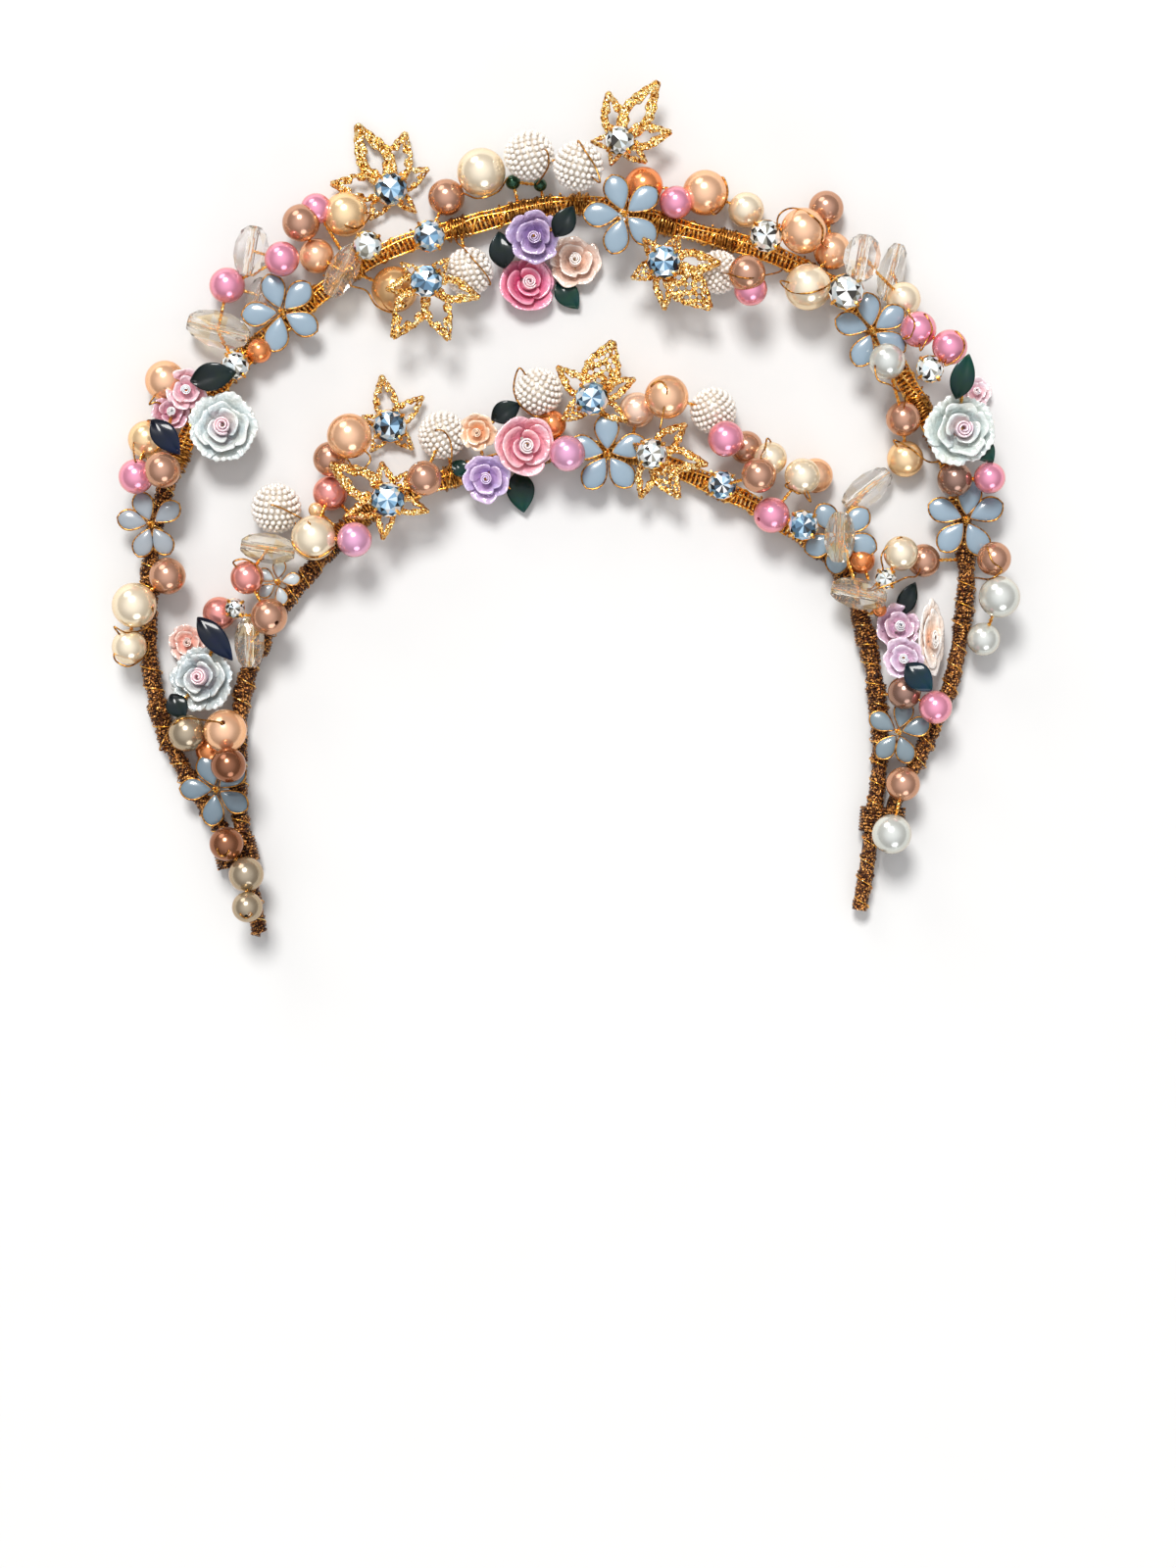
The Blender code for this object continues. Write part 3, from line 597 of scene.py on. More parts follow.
for node, px, py, diameter, colour, *height in rows:
    place = spot(px, py)
    radius = diameter / 2 * MM
    place.z = height[0] * MM if height else cad_top(node, place.x, place.y) - radius
    place.x = max(solid_bounds[0].x + radius, min(solid_bounds[1].x - radius, place.x))
    strung[node].append((place, radius))
    bearing = draw.uniform(0, math.tau)
    axis = (math.cos(bearing), math.sin(bearing), draw.uniform(-0.2, 0.2))
    if (px, py) in SHOWN_HOLES:
        dx, dy = SHOWN_HOLES[px, py]
        aside = math.hypot(dx, dy) / PIXELS_PER_MM * MM
        axis = (dx / PIXELS_PER_MM * MM, -dy / PIXELS_PER_MM * MM,
                math.sqrt(max(radius ** 2 - aside ** 2, (0.2 * radius) ** 2)))
    matrix = Matrix.Translation(place) @ facing(axis) @ Matrix.Scale(radius, 4)
    strings[side_of(node)].append(pearl_with_painted_shade(copy_of(pearl, matrix), place, radius, colour))
for side, members in strings.items():
    assemble(side + "_pearls", members, "pearl", *[node for node in PEARLS if node.startswith(side)])
bpy.data.objects.remove(pearl)

# Beaded balls: a gilt bead covered with rings of seed pearls a millimetre across, threaded on
# wire like the pearls.
SEED_RADIUS = 0.63 * MM
SEED_SPACING = 2.2 * SEED_RADIUS
SEED_RINGS = 12
SHELL_RADIUS = 5.07 * MM
CORE_RADIUS = 4.75 * MM
BALL_ACROSS = 11.4
BALLS = {
    "beaded_pair_crown": [(540, 159, 11.4, 20), (590, 172, 11.4, 75)],
    "beaded_ball_outer": [(478, 276, 11.2, 15)],
    "outer_spray_7": [(733, 276, 10, 40)],
    "beaded_ball_left": [(281, 518, 11.4, 90)],
    "beaded_ball_inner": [(549, 399, 11, 60)],
    "inner_spray_6": [(451, 443, 11, 30)],
    "inner_spray_7": [(728, 418, 10.6, 120)],
}
seed_pearl = finish("seed_pearl", lambda here: {
    "Base Color": here.grain(1.2 * MM).blend((0.94, 0.88, 0.81), (1.0, 0.98, 0.94)),
    "Metallic": 0.25,
    "Roughness": 0.2,
    "Coat Weight": 0.8,
    "Coat Roughness": 0.04})
# The core shows only between the seed pearls and is coloured darker than them as painted
# shade in those gaps.
ball_core = finish("ball_core", lambda here: {
    "Base Color": here.grain(0.8 * MM).blend((0.56, 0.48, 0.40), (0.72, 0.64, 0.54)),
    "Metallic": 0.4,
    "Roughness": 0.4})


def heading(degrees):
    """Level direction at an angle from +X in the plan."""
    return Vector((math.cos(math.radians(degrees)), math.sin(math.radians(degrees)), 0))


bpy.ops.mesh.primitive_uv_sphere_add(segments=16, ring_count=10, radius=CORE_RADIUS)
ball = bpy.context.object
ball.name = "beaded_ball"
ball.data.materials.append(ball_core)
ball.data.materials.append(seed_pearl)
ball.active_material_index = 1
bpy.ops.object.mode_set(mode="EDIT")
for number in range(SEED_RINGS):
    lift = math.pi * (number / (SEED_RINGS - 1) - 0.5)
    count = max(1, round(math.tau * math.cos(lift) * SHELL_RADIUS / SEED_SPACING))
    bpy.ops.mesh.select_all(action="DESELECT")
    bpy.ops.mesh.primitive_uv_sphere_add(
        segments=8, ring_count=5, radius=SEED_RADIUS,
        location=(SHELL_RADIUS * math.cos(lift), 0, SHELL_RADIUS * math.sin(lift)))
    bpy.ops.object.material_slot_assign()
    if count > 1:
        bpy.ops.transform.rotate(value=2.4 * number, orient_axis="Z", center_override=(0, 0, 0))
        bpy.ops.mesh.spin(steps=count - 1, dupli=True, angle=math.tau * (count - 1) / count,
                          center=(0, 0, 0), axis=(0, 0, 1))
bpy.ops.object.mode_set(mode="OBJECT")
bpy.ops.object.shade_smooth()
ball.select_set(False)
clusters = defaultdict(list)
for node, px, py, diameter, turn in every(BALLS):
    place = seated(node, px, py, diameter / 2 * MM)
    tilt = facing(heading(turn) + 0.35 * UP)
    matrix = Matrix.Translation(place) @ tilt @ Matrix.Scale(diameter / BALL_ACROSS, 4)
    clusters[side_of(node)].append(copy_of(ball, matrix))
assemble("outer_beaded_balls", clusters["outer"], "seed_pearl",
         "beaded_pair_crown", "beaded_ball_outer")
assemble("inner_beaded_balls", clusters["inner"], "seed_pearl",
         "beaded_ball_left", "beaded_ball_inner")
bpy.data.objects.remove(ball)

# Glass drops: long faceted beads, some clear and some champagne, lying along the spray with
# the gilt wire showing gold through them.
# Facet tints, one drawn per facet: the glass's own clear or champagne tone, with tan and
# gold facets as painted reflections of the gilt wire inside.
CHAMPAGNE_AND_PAINTED_GOLD = [(1.0, 0.98, 0.93), (1.0, 0.95, 0.82), (1, 1, 0.99), (1, 0.99, 0.96), (0.97, 0.76, 0.44)]
CLEAR_AND_PAINTED_GOLD = [(1, 1, 1), (1, 0.99, 0.98), (1.0, 0.97, 0.93), (1, 1, 1), (0.97, 0.88, 0.74)]
CRYSTALS = {
    "outer_spray_3": [(222, 335, 14, 8, -15, CHAMPAGNE_AND_PAINTED_GOLD), (256, 256, 11, 7.6, 80, CLEAR_AND_PAINTED_GOLD),
                      (262, 300, 8, 5, 70, CLEAR_AND_PAINTED_GOLD)],
    "outer_spray_4": [(350, 277, 12.5, 6.5, 62, CHAMPAGNE_AND_PAINTED_GOLD)],
    "outer_spray_9": [(877, 268, 10, 8, 80, CLEAR_AND_PAINTED_GOLD), (911, 276, 13, 5.8, 75, CLEAR_AND_PAINTED_GOLD)],
    "inner_spray_3": [(255, 656, 11, 6.6, 90, CHAMPAGNE_AND_PAINTED_GOLD), (274, 560, 12, 6.6, -8, CHAMPAGNE_AND_PAINTED_GOLD)],
    "inner_spray_10": [(886, 498, 12.4, 6.6, 38, CLEAR_AND_PAINTED_GOLD)],
    "inner_spray_11": [(856, 549, 11, 6.8, 88, CHAMPAGNE_AND_PAINTED_GOLD), (876, 606, 12.4, 6.8, -12, CHAMPAGNE_AND_PAINTED_GOLD)],
}
glass = finish("cut_glass", lambda here: {
    "Base Color": here.attribute("tint") * here.grain(2 * MM).blend((0.97, 0.97, 0.97), (1, 1, 1)),
    "Roughness": 0.0,
    "IOR": 1.32,
    "Transmission Weight": 0.9})


def drawn_out(rise, narrow, turn):
    """Draws the chosen faces out by a rise, narrows their end and turns it by some degrees."""
    bpy.ops.mesh.extrude_region_move(TRANSFORM_OT_translate={"value": (0, 0, rise)})
    bpy.ops.transform.resize(value=(narrow, narrow, 1), center_override=(0, 0, 0))
    bpy.ops.transform.rotate(value=math.radians(turn), orient_axis="Z", center_override=(0, 0, 0))


def facetted(item, material):
    """Splits all faces of a cut piece into flat facets and gives them their material."""
    bpy.ops.mesh.select_all(action="SELECT")
    bpy.ops.mesh.quads_convert_to_tris()
    bpy.ops.mesh.normals_make_consistent(inside=False)
    bpy.ops.object.mode_set(mode="OBJECT")
    item.select_set(False)
    item.data.materials.append(material)


bpy.ops.mesh.primitive_cylinder_add(vertices=8, radius=1, depth=0.5)
crystal = bpy.context.object
crystal.name = "glass_drop"
for sign in (1, -1):
    choose(crystal, lambda face: face.normal.z * sign > 0.9)
    drawn_out(0.5 * sign, 0.8, 22.5)
    drawn_out(0.25 * sign, 0.52, 22.5)
    bpy.ops.mesh.inset(thickness=0.18)
    bpy.ops.object.mode_set(mode="OBJECT")
choose(crystal, lambda face: abs(face.normal.z) > 0.95 and face.center.xy.length < 0.1)
bpy.ops.mesh.bridge_edge_loops()
facetted(crystal, glass)
drops = defaultdict(list)
threads = defaultdict(list)
for node, px, py, long, wide, turn, colour in every(CRYSTALS):
    half = wide / 2 * MM
    place = seated(node, px, py, half, half)
    lying = heading(turn)
    size = Matrix.Diagonal((half, half, long / 2 * MM, 1))
    matrix = Matrix.Translation(place) @ facing(lying) @ size
    drops[side_of(node)].append(copy_of(crystal, matrix, colour))
    threads[side_of(node)].append([place + lying * share * long * MM for share in (-0.5, 0, 0.5)])
for side, nodes in (("outer", ()), ("inner", ("inner_spray_10", "inner_spray_11"))):
    thread = wires("thread", threads[side], 0.45 * MM, gilt_wire)
    assemble(side + "_glass_drops", drops[side] + [thread], "pearl", *nodes)
bpy.data.objects.remove(crystal)

# Set stones: round cut glass with a foiled back, in a thin gilt cup whose four claws are folded
# over the edge. Those on the leaves are soldered to them, and the rest are wired on.
# Facet colours of the set stones, one drawn per facet: the stone's own pale or blue tones,
# with white facets as painted glints and the darkest as painted dark reflections.
PALE_AND_PAINTED_GLINTS = [(1.0, 1.0, 0.98), (0.72, 0.82, 0.86), (0.30, 0.29, 0.24), (0.90, 0.95, 0.97),
        (0.02, 0.015, 0.01)]
BLUE_AND_PAINTED_GLINTS = [(1.0, 1.0, 1.0), (0.42, 0.68, 0.92), (0.10, 0.22, 0.36), (0.70, 0.86, 1.0),
        (0.22, 0.44, 0.66), (0.01, 0.015, 0.02), (0.04, 0.09, 0.15)]
STONES = {
    "outer_spray_3": [(240, 373, 6.2, PALE_AND_PAINTED_GLINTS)],
    "outer_spray_4": [(376, 253, 6.4, PALE_AND_PAINTED_GLINTS)],
    "outer_spray_5": [(438, 241, 7, BLUE_AND_PAINTED_GLINTS)],
    "outer_spray_8": [(781, 243, 7.2, PALE_AND_PAINTED_GLINTS)],
    "outer_spray_9": [(861, 302, 7.8, PALE_AND_PAINTED_GLINTS), (945, 381, 6, PALE_AND_PAINTED_GLINTS)],
    "inner_spray_8": [(737, 495, 6.4, BLUE_AND_PAINTED_GLINTS)],
    "inner_spray_9": [(819, 537, 6.6, BLUE_AND_PAINTED_GLINTS)],
    "inner_spray_3": [(240, 621, 4.4, PALE_AND_PAINTED_GLINTS)],
    "inner_spray_12": [(903, 591, 4.6, PALE_AND_PAINTED_GLINTS)],
    "outer_flower_3": [(636, 221, 2.6, PALE_AND_PAINTED_GLINTS)],
    "outer_leaf_1": [(398, 190, 7.4, BLUE_AND_PAINTED_GLINTS)],
    "outer_leaf_2": [(436, 290, 7.2, BLUE_AND_PAINTED_GLINTS)],
    "outer_leaf_3": [(632, 144, 6.6, PALE_AND_PAINTED_GLINTS)],
    "outer_leaf_4": [(677, 270, 7.4, BLUE_AND_PAINTED_GLINTS)],
    "inner_leaf_1": [(397, 433, 7.4, BLUE_AND_PAINTED_GLINTS)],
    "inner_leaf_2": [(397, 512, 7.6, BLUE_AND_PAINTED_GLINTS)],
    "inner_leaf_3": [(604, 407, 7.4, BLUE_AND_PAINTED_GLINTS)],
    "inner_leaf_4": [(665, 464, 6.8, PALE_AND_PAINTED_GLINTS)],
}
SUNK = {"inner_leaf_3": 1.5 * MM, "outer_leaf_4": 1.0 * MM}
STONE_HEIGHT_RATIO = 0.63
CLAW = ((0.7, -0.5), (1.06, 0.0), (1.05, 0.3), (0.85, 0.5))
foiled_glass = finish("foiled_glass", lambda here: {
    "Base Color": here.attribute("tint") * here.grain(1 * MM).blend((0.9, 0.9, 0.9), (1, 1, 1)),
    "Metallic": 0.5,
    "Roughness": 0.08,
    "Coat Weight": 1.0,
    "Coat Roughness": 0.0})
bpy.ops.mesh.primitive_cylinder_add(vertices=12, radius=1.0, depth=0.12, location=(0, 0, 0.1))
stone = bpy.context.object
stone.name = "cut_stone"
bpy.ops.object.transform_apply(location=True)
choose(stone, lambda face: face.normal.z > 0.9)
drawn_out(0.2, 0.84, 15)
drawn_out(0.16, 0.7, 15)
bpy.ops.mesh.poke(offset=0.1)
bpy.ops.object.mode_set(mode="OBJECT")
choose(stone, lambda face: face.normal.z < -0.9)
bpy.ops.mesh.extrude_region_move(TRANSFORM_OT_translate={"value": (0, 0, -0.4)})
bpy.ops.transform.resize(value=(0.45, 0.45, 1))
facetted(stone, foiled_glass)
bpy.ops.mesh.primitive_cone_add(vertices=16, radius1=0.62, radius2=1.02, depth=0.75,
                                end_fill_type="NOTHING", location=(0, 0, -0.22))
cup = bpy.context.object
cup.name = "cup"
bpy.ops.object.transform_apply(location=True)
wall = cup.modifiers.new("wall", "SOLIDIFY")
wall.thickness = 0.09
bpy.ops.object.modifier_apply(modifier="wall")
bpy.ops.object.shade_smooth_by_angle(angle=math.radians(40))
cup.data.materials.append(gilt_wire)
cup.select_set(False)
settings = defaultdict(list)
claws = defaultdict(list)
leaf_stones = {}
draw = random.Random(5)
for node, px, py, diameter, facets in every(STONES):
    radius = diameter / 2 * MM
    half = radius * STONE_HEIGHT_RATIO
    if "leaf" in node:
        place = leaf_stones[node] = spot(px, py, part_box(node)[1].z - half - SUNK.get(node, 0))
    else:
        place = seated(node, px, py, half, 1.1 * radius)
    turn = Matrix.Rotation(draw.uniform(0, 1), 4, "Z")
    matrix = Matrix.Translation(place) @ Matrix.Scale(radius, 4) @ turn
    settings[side_of(node)] += [copy_of(stone, matrix, facets), copy_of(cup, matrix)]
    for bearing in (40, 130, 220, 310):
        claws[side_of(node)].append([place + radius * (share * heading(bearing) + rise * UP)
                                     for share, rise in CLAW])
for side in ("outer", "inner"):
    claw = wires("claws", claws[side], 0.75 * MM, gilt_wire)
    assemble(side + "_set_stones", settings[side] + [claw], "pearl")
for used in (stone, cup):
    bpy.data.objects.remove(used)

# Enamel flowers: five domed grey-blue petals, each poured into a thin gilt rim, meeting at a
# gilt knot that the wire is drawn through.
FLOWERS = {
    "outer_flower_1": (154, 535, 7.6, (37, 112, 168, 248, 302)),
    "outer_flower_2": (287, 318, 8.8, (46, 110, 184, 258, 332)),
    "outer_flower_3": (637, 220, 9.0, (38, 108, 180, 252, 318)),
    "outer_flower_4": (889, 339, 8.4, (35, 98, 163, 246, 328)),
    "outer_flower_5": (986, 530, 8.8, (24, 82, 158, 230, 298)),
    "inner_flower_1": (220, 806, 8.0, (40, 112, 178, 262, 328)),
    "inner_flower_2": (283, 594, 5.0, (12, 84, 150, 215, 285)),
    "inner_flower_3": (620, 463, 8.8, (18, 92, 165, 238, 306)),
    "inner_flower_4": (858, 547, 8.4, (45, 125, 202, 262, 340)),
    "inner_flower_5": (917, 747, 7.2, (15, 75, 148, 232, 290)),
}
GREY_BLUE = (0.235, 0.325, 0.41)
# Petals other than the usual grey-blue: inner_flower_1 and inner_flower_5 darkened as painted
# shade, and outer_flower_1 and inner_flower_2 greyer.
FLOWER_BLUES_AND_PAINTED_SHADE = {"inner_flower_1": (0.14, 0.20, 0.25), "inner_flower_5": (0.17, 0.23, 0.27),
                "outer_flower_1": (0.28, 0.315, 0.355), "inner_flower_2": (0.46, 0.52, 0.56)}
PETAL_ROOT = 1.0 * MM
PETAL_WIDTH = 5.3 * MM
PETAL_DOME = 1.5 * MM
FLOWER_THICKNESS = 1.3 * MM
RIM_STEPS = 14
KNOT_RADIUS = 0.75 * MM
enamel = finish("enamel", lambda here: {
    "Base Color": here.attribute("tint") * here.grain(3 * MM).blend(
        (0.9, 0.92, 0.94), (1.1, 1.08, 1.06)),
    "Roughness": 0.22,
    "Coat Weight": 0.7,
    "Coat Roughness": 0.03})
antique_gilt = finish("antique_gilt", lambda here: {
    "Base Color": here.grain(0.7 * MM).ramp((0.35, (0.16, 0.05, 0.008)), (0.65, (0.72, 0.35, 0.08))),
    "Metallic": 1.0,
    "Roughness": 0.28})


def petal_width(share):
    """Half width of a petal at a share of its length, against its widest."""
    return math.sin(math.pi * share ** 1.4) ** 0.6 if 0 < share < 1 else 0.0


bpy.ops.mesh.primitive_uv_sphere_add(segments=28, ring_count=14, radius=1)
petal = bpy.context.object
petal.name = "petal"
for corner in petal.data.vertices:
    share = (corner.co.x + 1) / 2
    spread = math.sqrt(max(1e-6, 1 - corner.co.x ** 2))
    corner.co.y *= petal_width(share) / spread
    corner.co.z *= 0.5 if corner.co.z > 0 else 0.2
    corner.co.x = share
petal.data.materials.append(enamel)
bpy.ops.object.shade_smooth()
petal.select_set(False)
edge = [(step / RIM_STEPS, 1) for step in range(RIM_STEPS + 1)]
edge += [(share, -1) for share, _ in edge[-2:0:-1]]
petals = defaultdict(list)
rims = defaultdict(list)
knots = defaultdict(list)
for node, (px, py, reach, angles) in FLOWERS.items():
    side = side_of(node)
    place = spot(px, py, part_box(node)[1].z - FLOWER_THICKNESS / 2)
    long = reach * MM - PETAL_ROOT
    half = min(PETAL_WIDTH, 0.66 * long) / 2
    for angle in angles:
        turn = Matrix.Translation(place) @ Matrix.Rotation(math.radians(angle), 4, "Z")
        shape = Matrix.Translation((PETAL_ROOT, 0, 0)) @ Matrix.Diagonal((long, half, PETAL_DOME, 1))
        petals[side].append(copy_of(petal, turn @ shape, FLOWER_BLUES_AND_PAINTED_SHADE.get(node, GREY_BLUE)))
        rims[side].append([turn @ Vector((PETAL_ROOT + share * long * 1.02,
                                          sign * half * 1.04 * petal_width(share), 0))
                           for share, sign in edge])
    knots[side].append([place + KNOT_RADIUS * Vector((math.cos(2.4 * step), math.sin(2.4 * step), 0))
                        + UP * (0.3 + 0.07 * step) * MM for step in range(12)])
for side in ("outer", "inner"):
    assemble(side + "_enamel_flowers",
             petals[side] + [wires("rims", rims[side], 0.4 * MM, antique_gilt, 1, True),
                             wires("knots", knots[side], 0.6 * MM, gilt_wire)],
             "enamel", *[node for node in FLOWERS if side in node])
bpy.data.objects.remove(petal)

# Pierced leaves: cast gilt filigree, each lobe a toothed and ribbed rim round a slot or rows of
# holes. A set stone is soldered on where the lobes meet.
LEAVES = {
    "outer_leaf_1": ((29, 10), (76, 13.6), (118, 17), (175, 14), (234, 8.6), (317, 8)),
    "outer_leaf_2": ((48, 7.5), (143, 7.5), (190, 9.4), (239, 15), (291, 14.4), (344, 12.6)),
    "outer_leaf_3": ((10, 12.2), (57, 16.3), (103, 11.8), (180, 6.6), (250, 6), (322, 8)),
    "outer_leaf_4": ((0, 13), (60, 7.5), (130, 7.5), (205, 8.2), (271, 10.8), (316, 15)),
    "inner_leaf_1": ((42, 10.4), (100, 12), (160, 7), (232, 7.5), (315, 7.5)),
    "inner_leaf_2": ((56, 8), (100, 9), (148, 15.6), (200, 10.6), (262, 9), (345, 9.6)),
    "inner_leaf_3": ((25, 11), (70, 14.2), (137, 11), (216, 8.6), (328, 9.8)),
    "inner_leaf_4": ((42, 10.6), (150, 5), (256, 10.4), (302, 12), (350, 13)),
}
# Leaves with wide slots and holes in most lobes, and leaves with every other lobe unslotted.
OPEN_LEAVES = ("outer_leaf_1", "outer_leaf_2", "inner_leaf_1")
FULL_LEAVES = ("inner_leaf_3", "inner_leaf_4", "outer_leaf_4")
filigree = finish("gilt_filigree", lambda here: {
    "Base Color": here.grain(0.6 * MM).ramp(
        (0.38, (0.28, 0.08, 0.008)), (0.48, (1.0, 0.50, 0.09)), (0.60, (1.0, 0.84, 0.46))),
    "Metallic": 0.92,
    "Roughness": 0.22,
    "Normal": here.bump(here.cells(0.5 * MM), 0.28 * MM)})
LOBE_COLUMNS = 7
LOBE_ROWS = 14
LOBE_RELIEF = 11 * MM
LEAF_UNDER_STONE = 3.2 * MM * STONE_HEIGHT_RATIO
LOWEST_LEAF = 1.6 * MM


def thickened(item, thickness):
    """Gives a bent sheet its thickness, evenly to both sides, and rounds its edges."""
    wall = item.modifiers.new("wall", "SOLIDIFY")
    wall.thickness = thickness
    wall.offset = 0
    item.modifiers.new("smooth", "SUBSURF").levels = 1
    bpy.ops.object.modifier_apply(modifier="wall")
    bpy.ops.object.modifier_apply(modifier="smooth")
    bpy.ops.object.shade_smooth()
    item.select_set(False)


def lobe_model(name, slot, laced, width):
    """Pierced lobe of length 1 along +X: a toothed and ribbed rim round a slot some columns wide."""
    bpy.ops.mesh.primitive_grid_add(x_subdivisions=LOBE_ROWS, y_subdivisions=LOBE_COLUMNS, size=2)
    lobe = bpy.context.object
    lobe.name = name

    def hole(face):
        row = int((face.center.x + 1) / 2 * LOBE_ROWS)
        away = abs(int((face.center.y + 1) / 2 * LOBE_COLUMNS) - LOBE_COLUMNS // 2)
        if away == 0 and slot:
            return 2 <= row <= LOBE_ROWS - 4
        if away == 1 and slot:
            return 3 <= row <= LOBE_ROWS - 6 if slot > 1 else 5 <= row <= 7
        return away < 3 and laced and (row + away) % 3 == 1 and 1 < row < LOBE_ROWS - 2

    choose(lobe, hole)
    bpy.ops.mesh.delete(type="FACE")
    bpy.ops.object.mode_set(mode="OBJECT")
    for corner in lobe.data.vertices:
        share, across = (corner.co.x + 1) / 2, corner.co.y
        half = width * (0.2 + 0.8 * math.sin(math.pi * share ** 0.85) ** 0.9) * (1 - 0.6 * share ** 4)
        row = round(share * LOBE_ROWS)
        tooth = row % 2 and abs(across) > 0.95
        if abs(across) > 0.95:
            half *= 1.22 if tooth else 0.94
        corner.co.x = share + (0.045 if tooth else 0)
        corner.co.y = across * half
        corner.co.z = (0.05 * (1 - abs(across)) + 0.03 * math.sin(9 * share + 3 * across)
                       + (0.035 if row % 2 else -0.02) * min(1, 2 * abs(across)))
    thickened(lobe, 0.06)
    lobe.data.materials.append(filigree)
    return lobe


open_lobe = lobe_model("open_lobe", 2, True, 0.25)
narrow_lobe = lobe_model("narrow_lobe", 1, False, 0.26)
full_lobe = lobe_model("full_lobe", 0, True, 0.30)
cast = defaultdict(list)
draw = random.Random(21)
for node, lobes in LEAVES.items():
    place = leaf_stones[node].copy()
    place.z = max(place.z - LEAF_UNDER_STONE, LOWEST_LEAF)
    for number, (angle, length) in enumerate(lobes):
        lean = Matrix.Rotation(math.radians(draw.uniform(-9, 2)), 4, "Y")
        roll = Matrix.Rotation(draw.uniform(-0.2, 0.2), 4, "X")
        wide = length * draw.uniform(0.82, 1.0) * MM
        size = Matrix.Diagonal((length * 0.98 * MM, wide, LOBE_RELIEF, 1))
        turn = Matrix.Rotation(math.radians(angle), 4, "Z")
        lobe = open_lobe if node in OPEN_LEAVES and number % 3 < 2 else narrow_lobe
        if node in FULL_LEAVES and number % 2:
            lobe = full_lobe
        cast[side_of(node)].append(copy_of(lobe, Matrix.Translation(place) @ turn @ lean @ roll @ size))
for side, members in cast.items():
    nodes = [node for node in LEAVES if side in node]
    assemble(side + "_filigree_leaves", members, "gilt_filigree", *nodes)
for used in (open_lobe, narrow_lobe, full_lobe):
    bpy.data.objects.remove(used)

# Ceramic roses: thin petals pressed by hand in whorls round a rolled bud, glazed in pearly
# colours, darker at the root and paler at the rim. They are wired down in clusters.
ROSES = {
    "roses_outer_left": [
        (228, 437, 16.4, "ruffled", (0.50, 0.58, 0.57), (0.80, 0.86, 0.84), (0.86, 0.45, 0.55)),
        (190, 398, 9.5, "open", (0.84, 0.34, 0.42), (0.96, 0.74, 0.78), (0.86, 0.86, 0.88)),
        (174, 421, 8.6, "open", (0.66, 0.20, 0.28), (0.84, 0.60, 0.68), (0.66, 0.66, 0.70)),
    ],
    "roses_outer_centre": [
        (538, 287, 13.4, "cupped", (0.76, 0.05, 0.22), (0.92, 0.42, 0.55), (0.85, 0.40, 0.50)),
        (545, 241, 12.2, "open", (0.30, 0.18, 0.42), (0.60, 0.48, 0.70), None),
        (586, 264, 12, "open", (0.84, 0.52, 0.38), (0.97, 0.82, 0.72), (0.95, 0.82, 0.72)),
    ],
    "roses_outer_right": [
        (978, 441, 16.6, "ruffled", (0.50, 0.60, 0.56), (0.82, 0.88, 0.85), (0.86, 0.45, 0.55)),
        (998, 398, 7.4, "open", (0.85, 0.55, 0.62), (0.95, 0.84, 0.86), None),
    ],
    "roses_inner_left": [
        (205, 692, 15.4, "ruffled", (0.40, 0.46, 0.46), (0.66, 0.72, 0.72), (0.88, 0.45, 0.55)),
        (188, 655, 8.6, "open", (0.88, 0.45, 0.36), (0.97, 0.76, 0.68), None),
    ],
    "roses_inner_centre": [
        (536, 455, 14.2, "cupped", (0.84, 0.22, 0.32), (0.95, 0.60, 0.64), (0.90, 0.70, 0.74)),
        (496, 488, 11, "open", (0.42, 0.26, 0.55), (0.76, 0.62, 0.86), None),
        (488, 442, 8.6, "open", (0.90, 0.48, 0.25), (0.95, 0.74, 0.55), None),
    ],
    "roses_inner_right": [
        (918, 639, 10.4, "open", (0.62, 0.34, 0.50), (0.86, 0.68, 0.80), (0.85, 0.82, 0.88)),
        (921, 672, 9.4, "open", (0.64, 0.40, 0.56), (0.86, 0.72, 0.84), (0.85, 0.82, 0.88)),
        (951, 652, 18.4, "shell", (0.90, 0.62, 0.45), (0.95, 0.93, 0.89), None),
    ],
}
# The whorls of each kind: petals, inner and outer radius, height of the root and of the rim, half
# span in degrees, ruffle and crinkle.
WHORLS = {
    "ruffled": [(5, 0.25, 1.0, -0.30, 0.16, 58, 0.03, 0.045),
                (4, 0.2, 0.72, -0.15, 0.36, 62, 0.05, 0.02),
                (2, 0.12, 0.46, 0.0, 0.46, 84, 0.02, 0.0)],
    "cupped": [(3, 0.25, 1.0, -0.35, 0.24, 82, 0.03, 0.0), (2, 0.2, 0.78, -0.2, 0.40, 88, 0.02, 0.0),
               (2, 0.12, 0.46, -0.1, 0.48, 88, 0.0, 0.0)],
    "open": [(5, 0.2, 1.0, -0.35, 0.22, 54, 0.045, 0.03), (3, 0.15, 0.66, -0.15, 0.40, 70, 0.03, 0.02)],
    "shell": [(5, 0.2, 1.0, -0.25, 0.05, 56, 0.03, 0.03), (4, 0.15, 0.7, -0.15, 0.2, 60, 0.02, 0.02)],
}
SHELL_HEIGHT = 8.6 * MM
glaze = finish("pearly_glaze", lambda here: {
    "Base Color": here.attribute("tint") * here.grain(3 * MM, 3).blend(
        (0.80, 0.92, 1.05), (1.15, 1.02, 0.92)),
    "Roughness": here.grain(1.0 * MM) * 0.12 + 0.1,
    "Metallic": 0.15,
    "Coat Weight": 1.0,
    "Coat Roughness": 0.04,
    "Normal": here.bump(here.grain(1.4 * MM), 0.6 * MM)})


def toned(item, root, rim):
    """Colours a piece from its root's colour to its rim's by the tone that it carries."""
    return shaded(item, root, rim, [row.value for row in item.data.attributes["tone"].data])


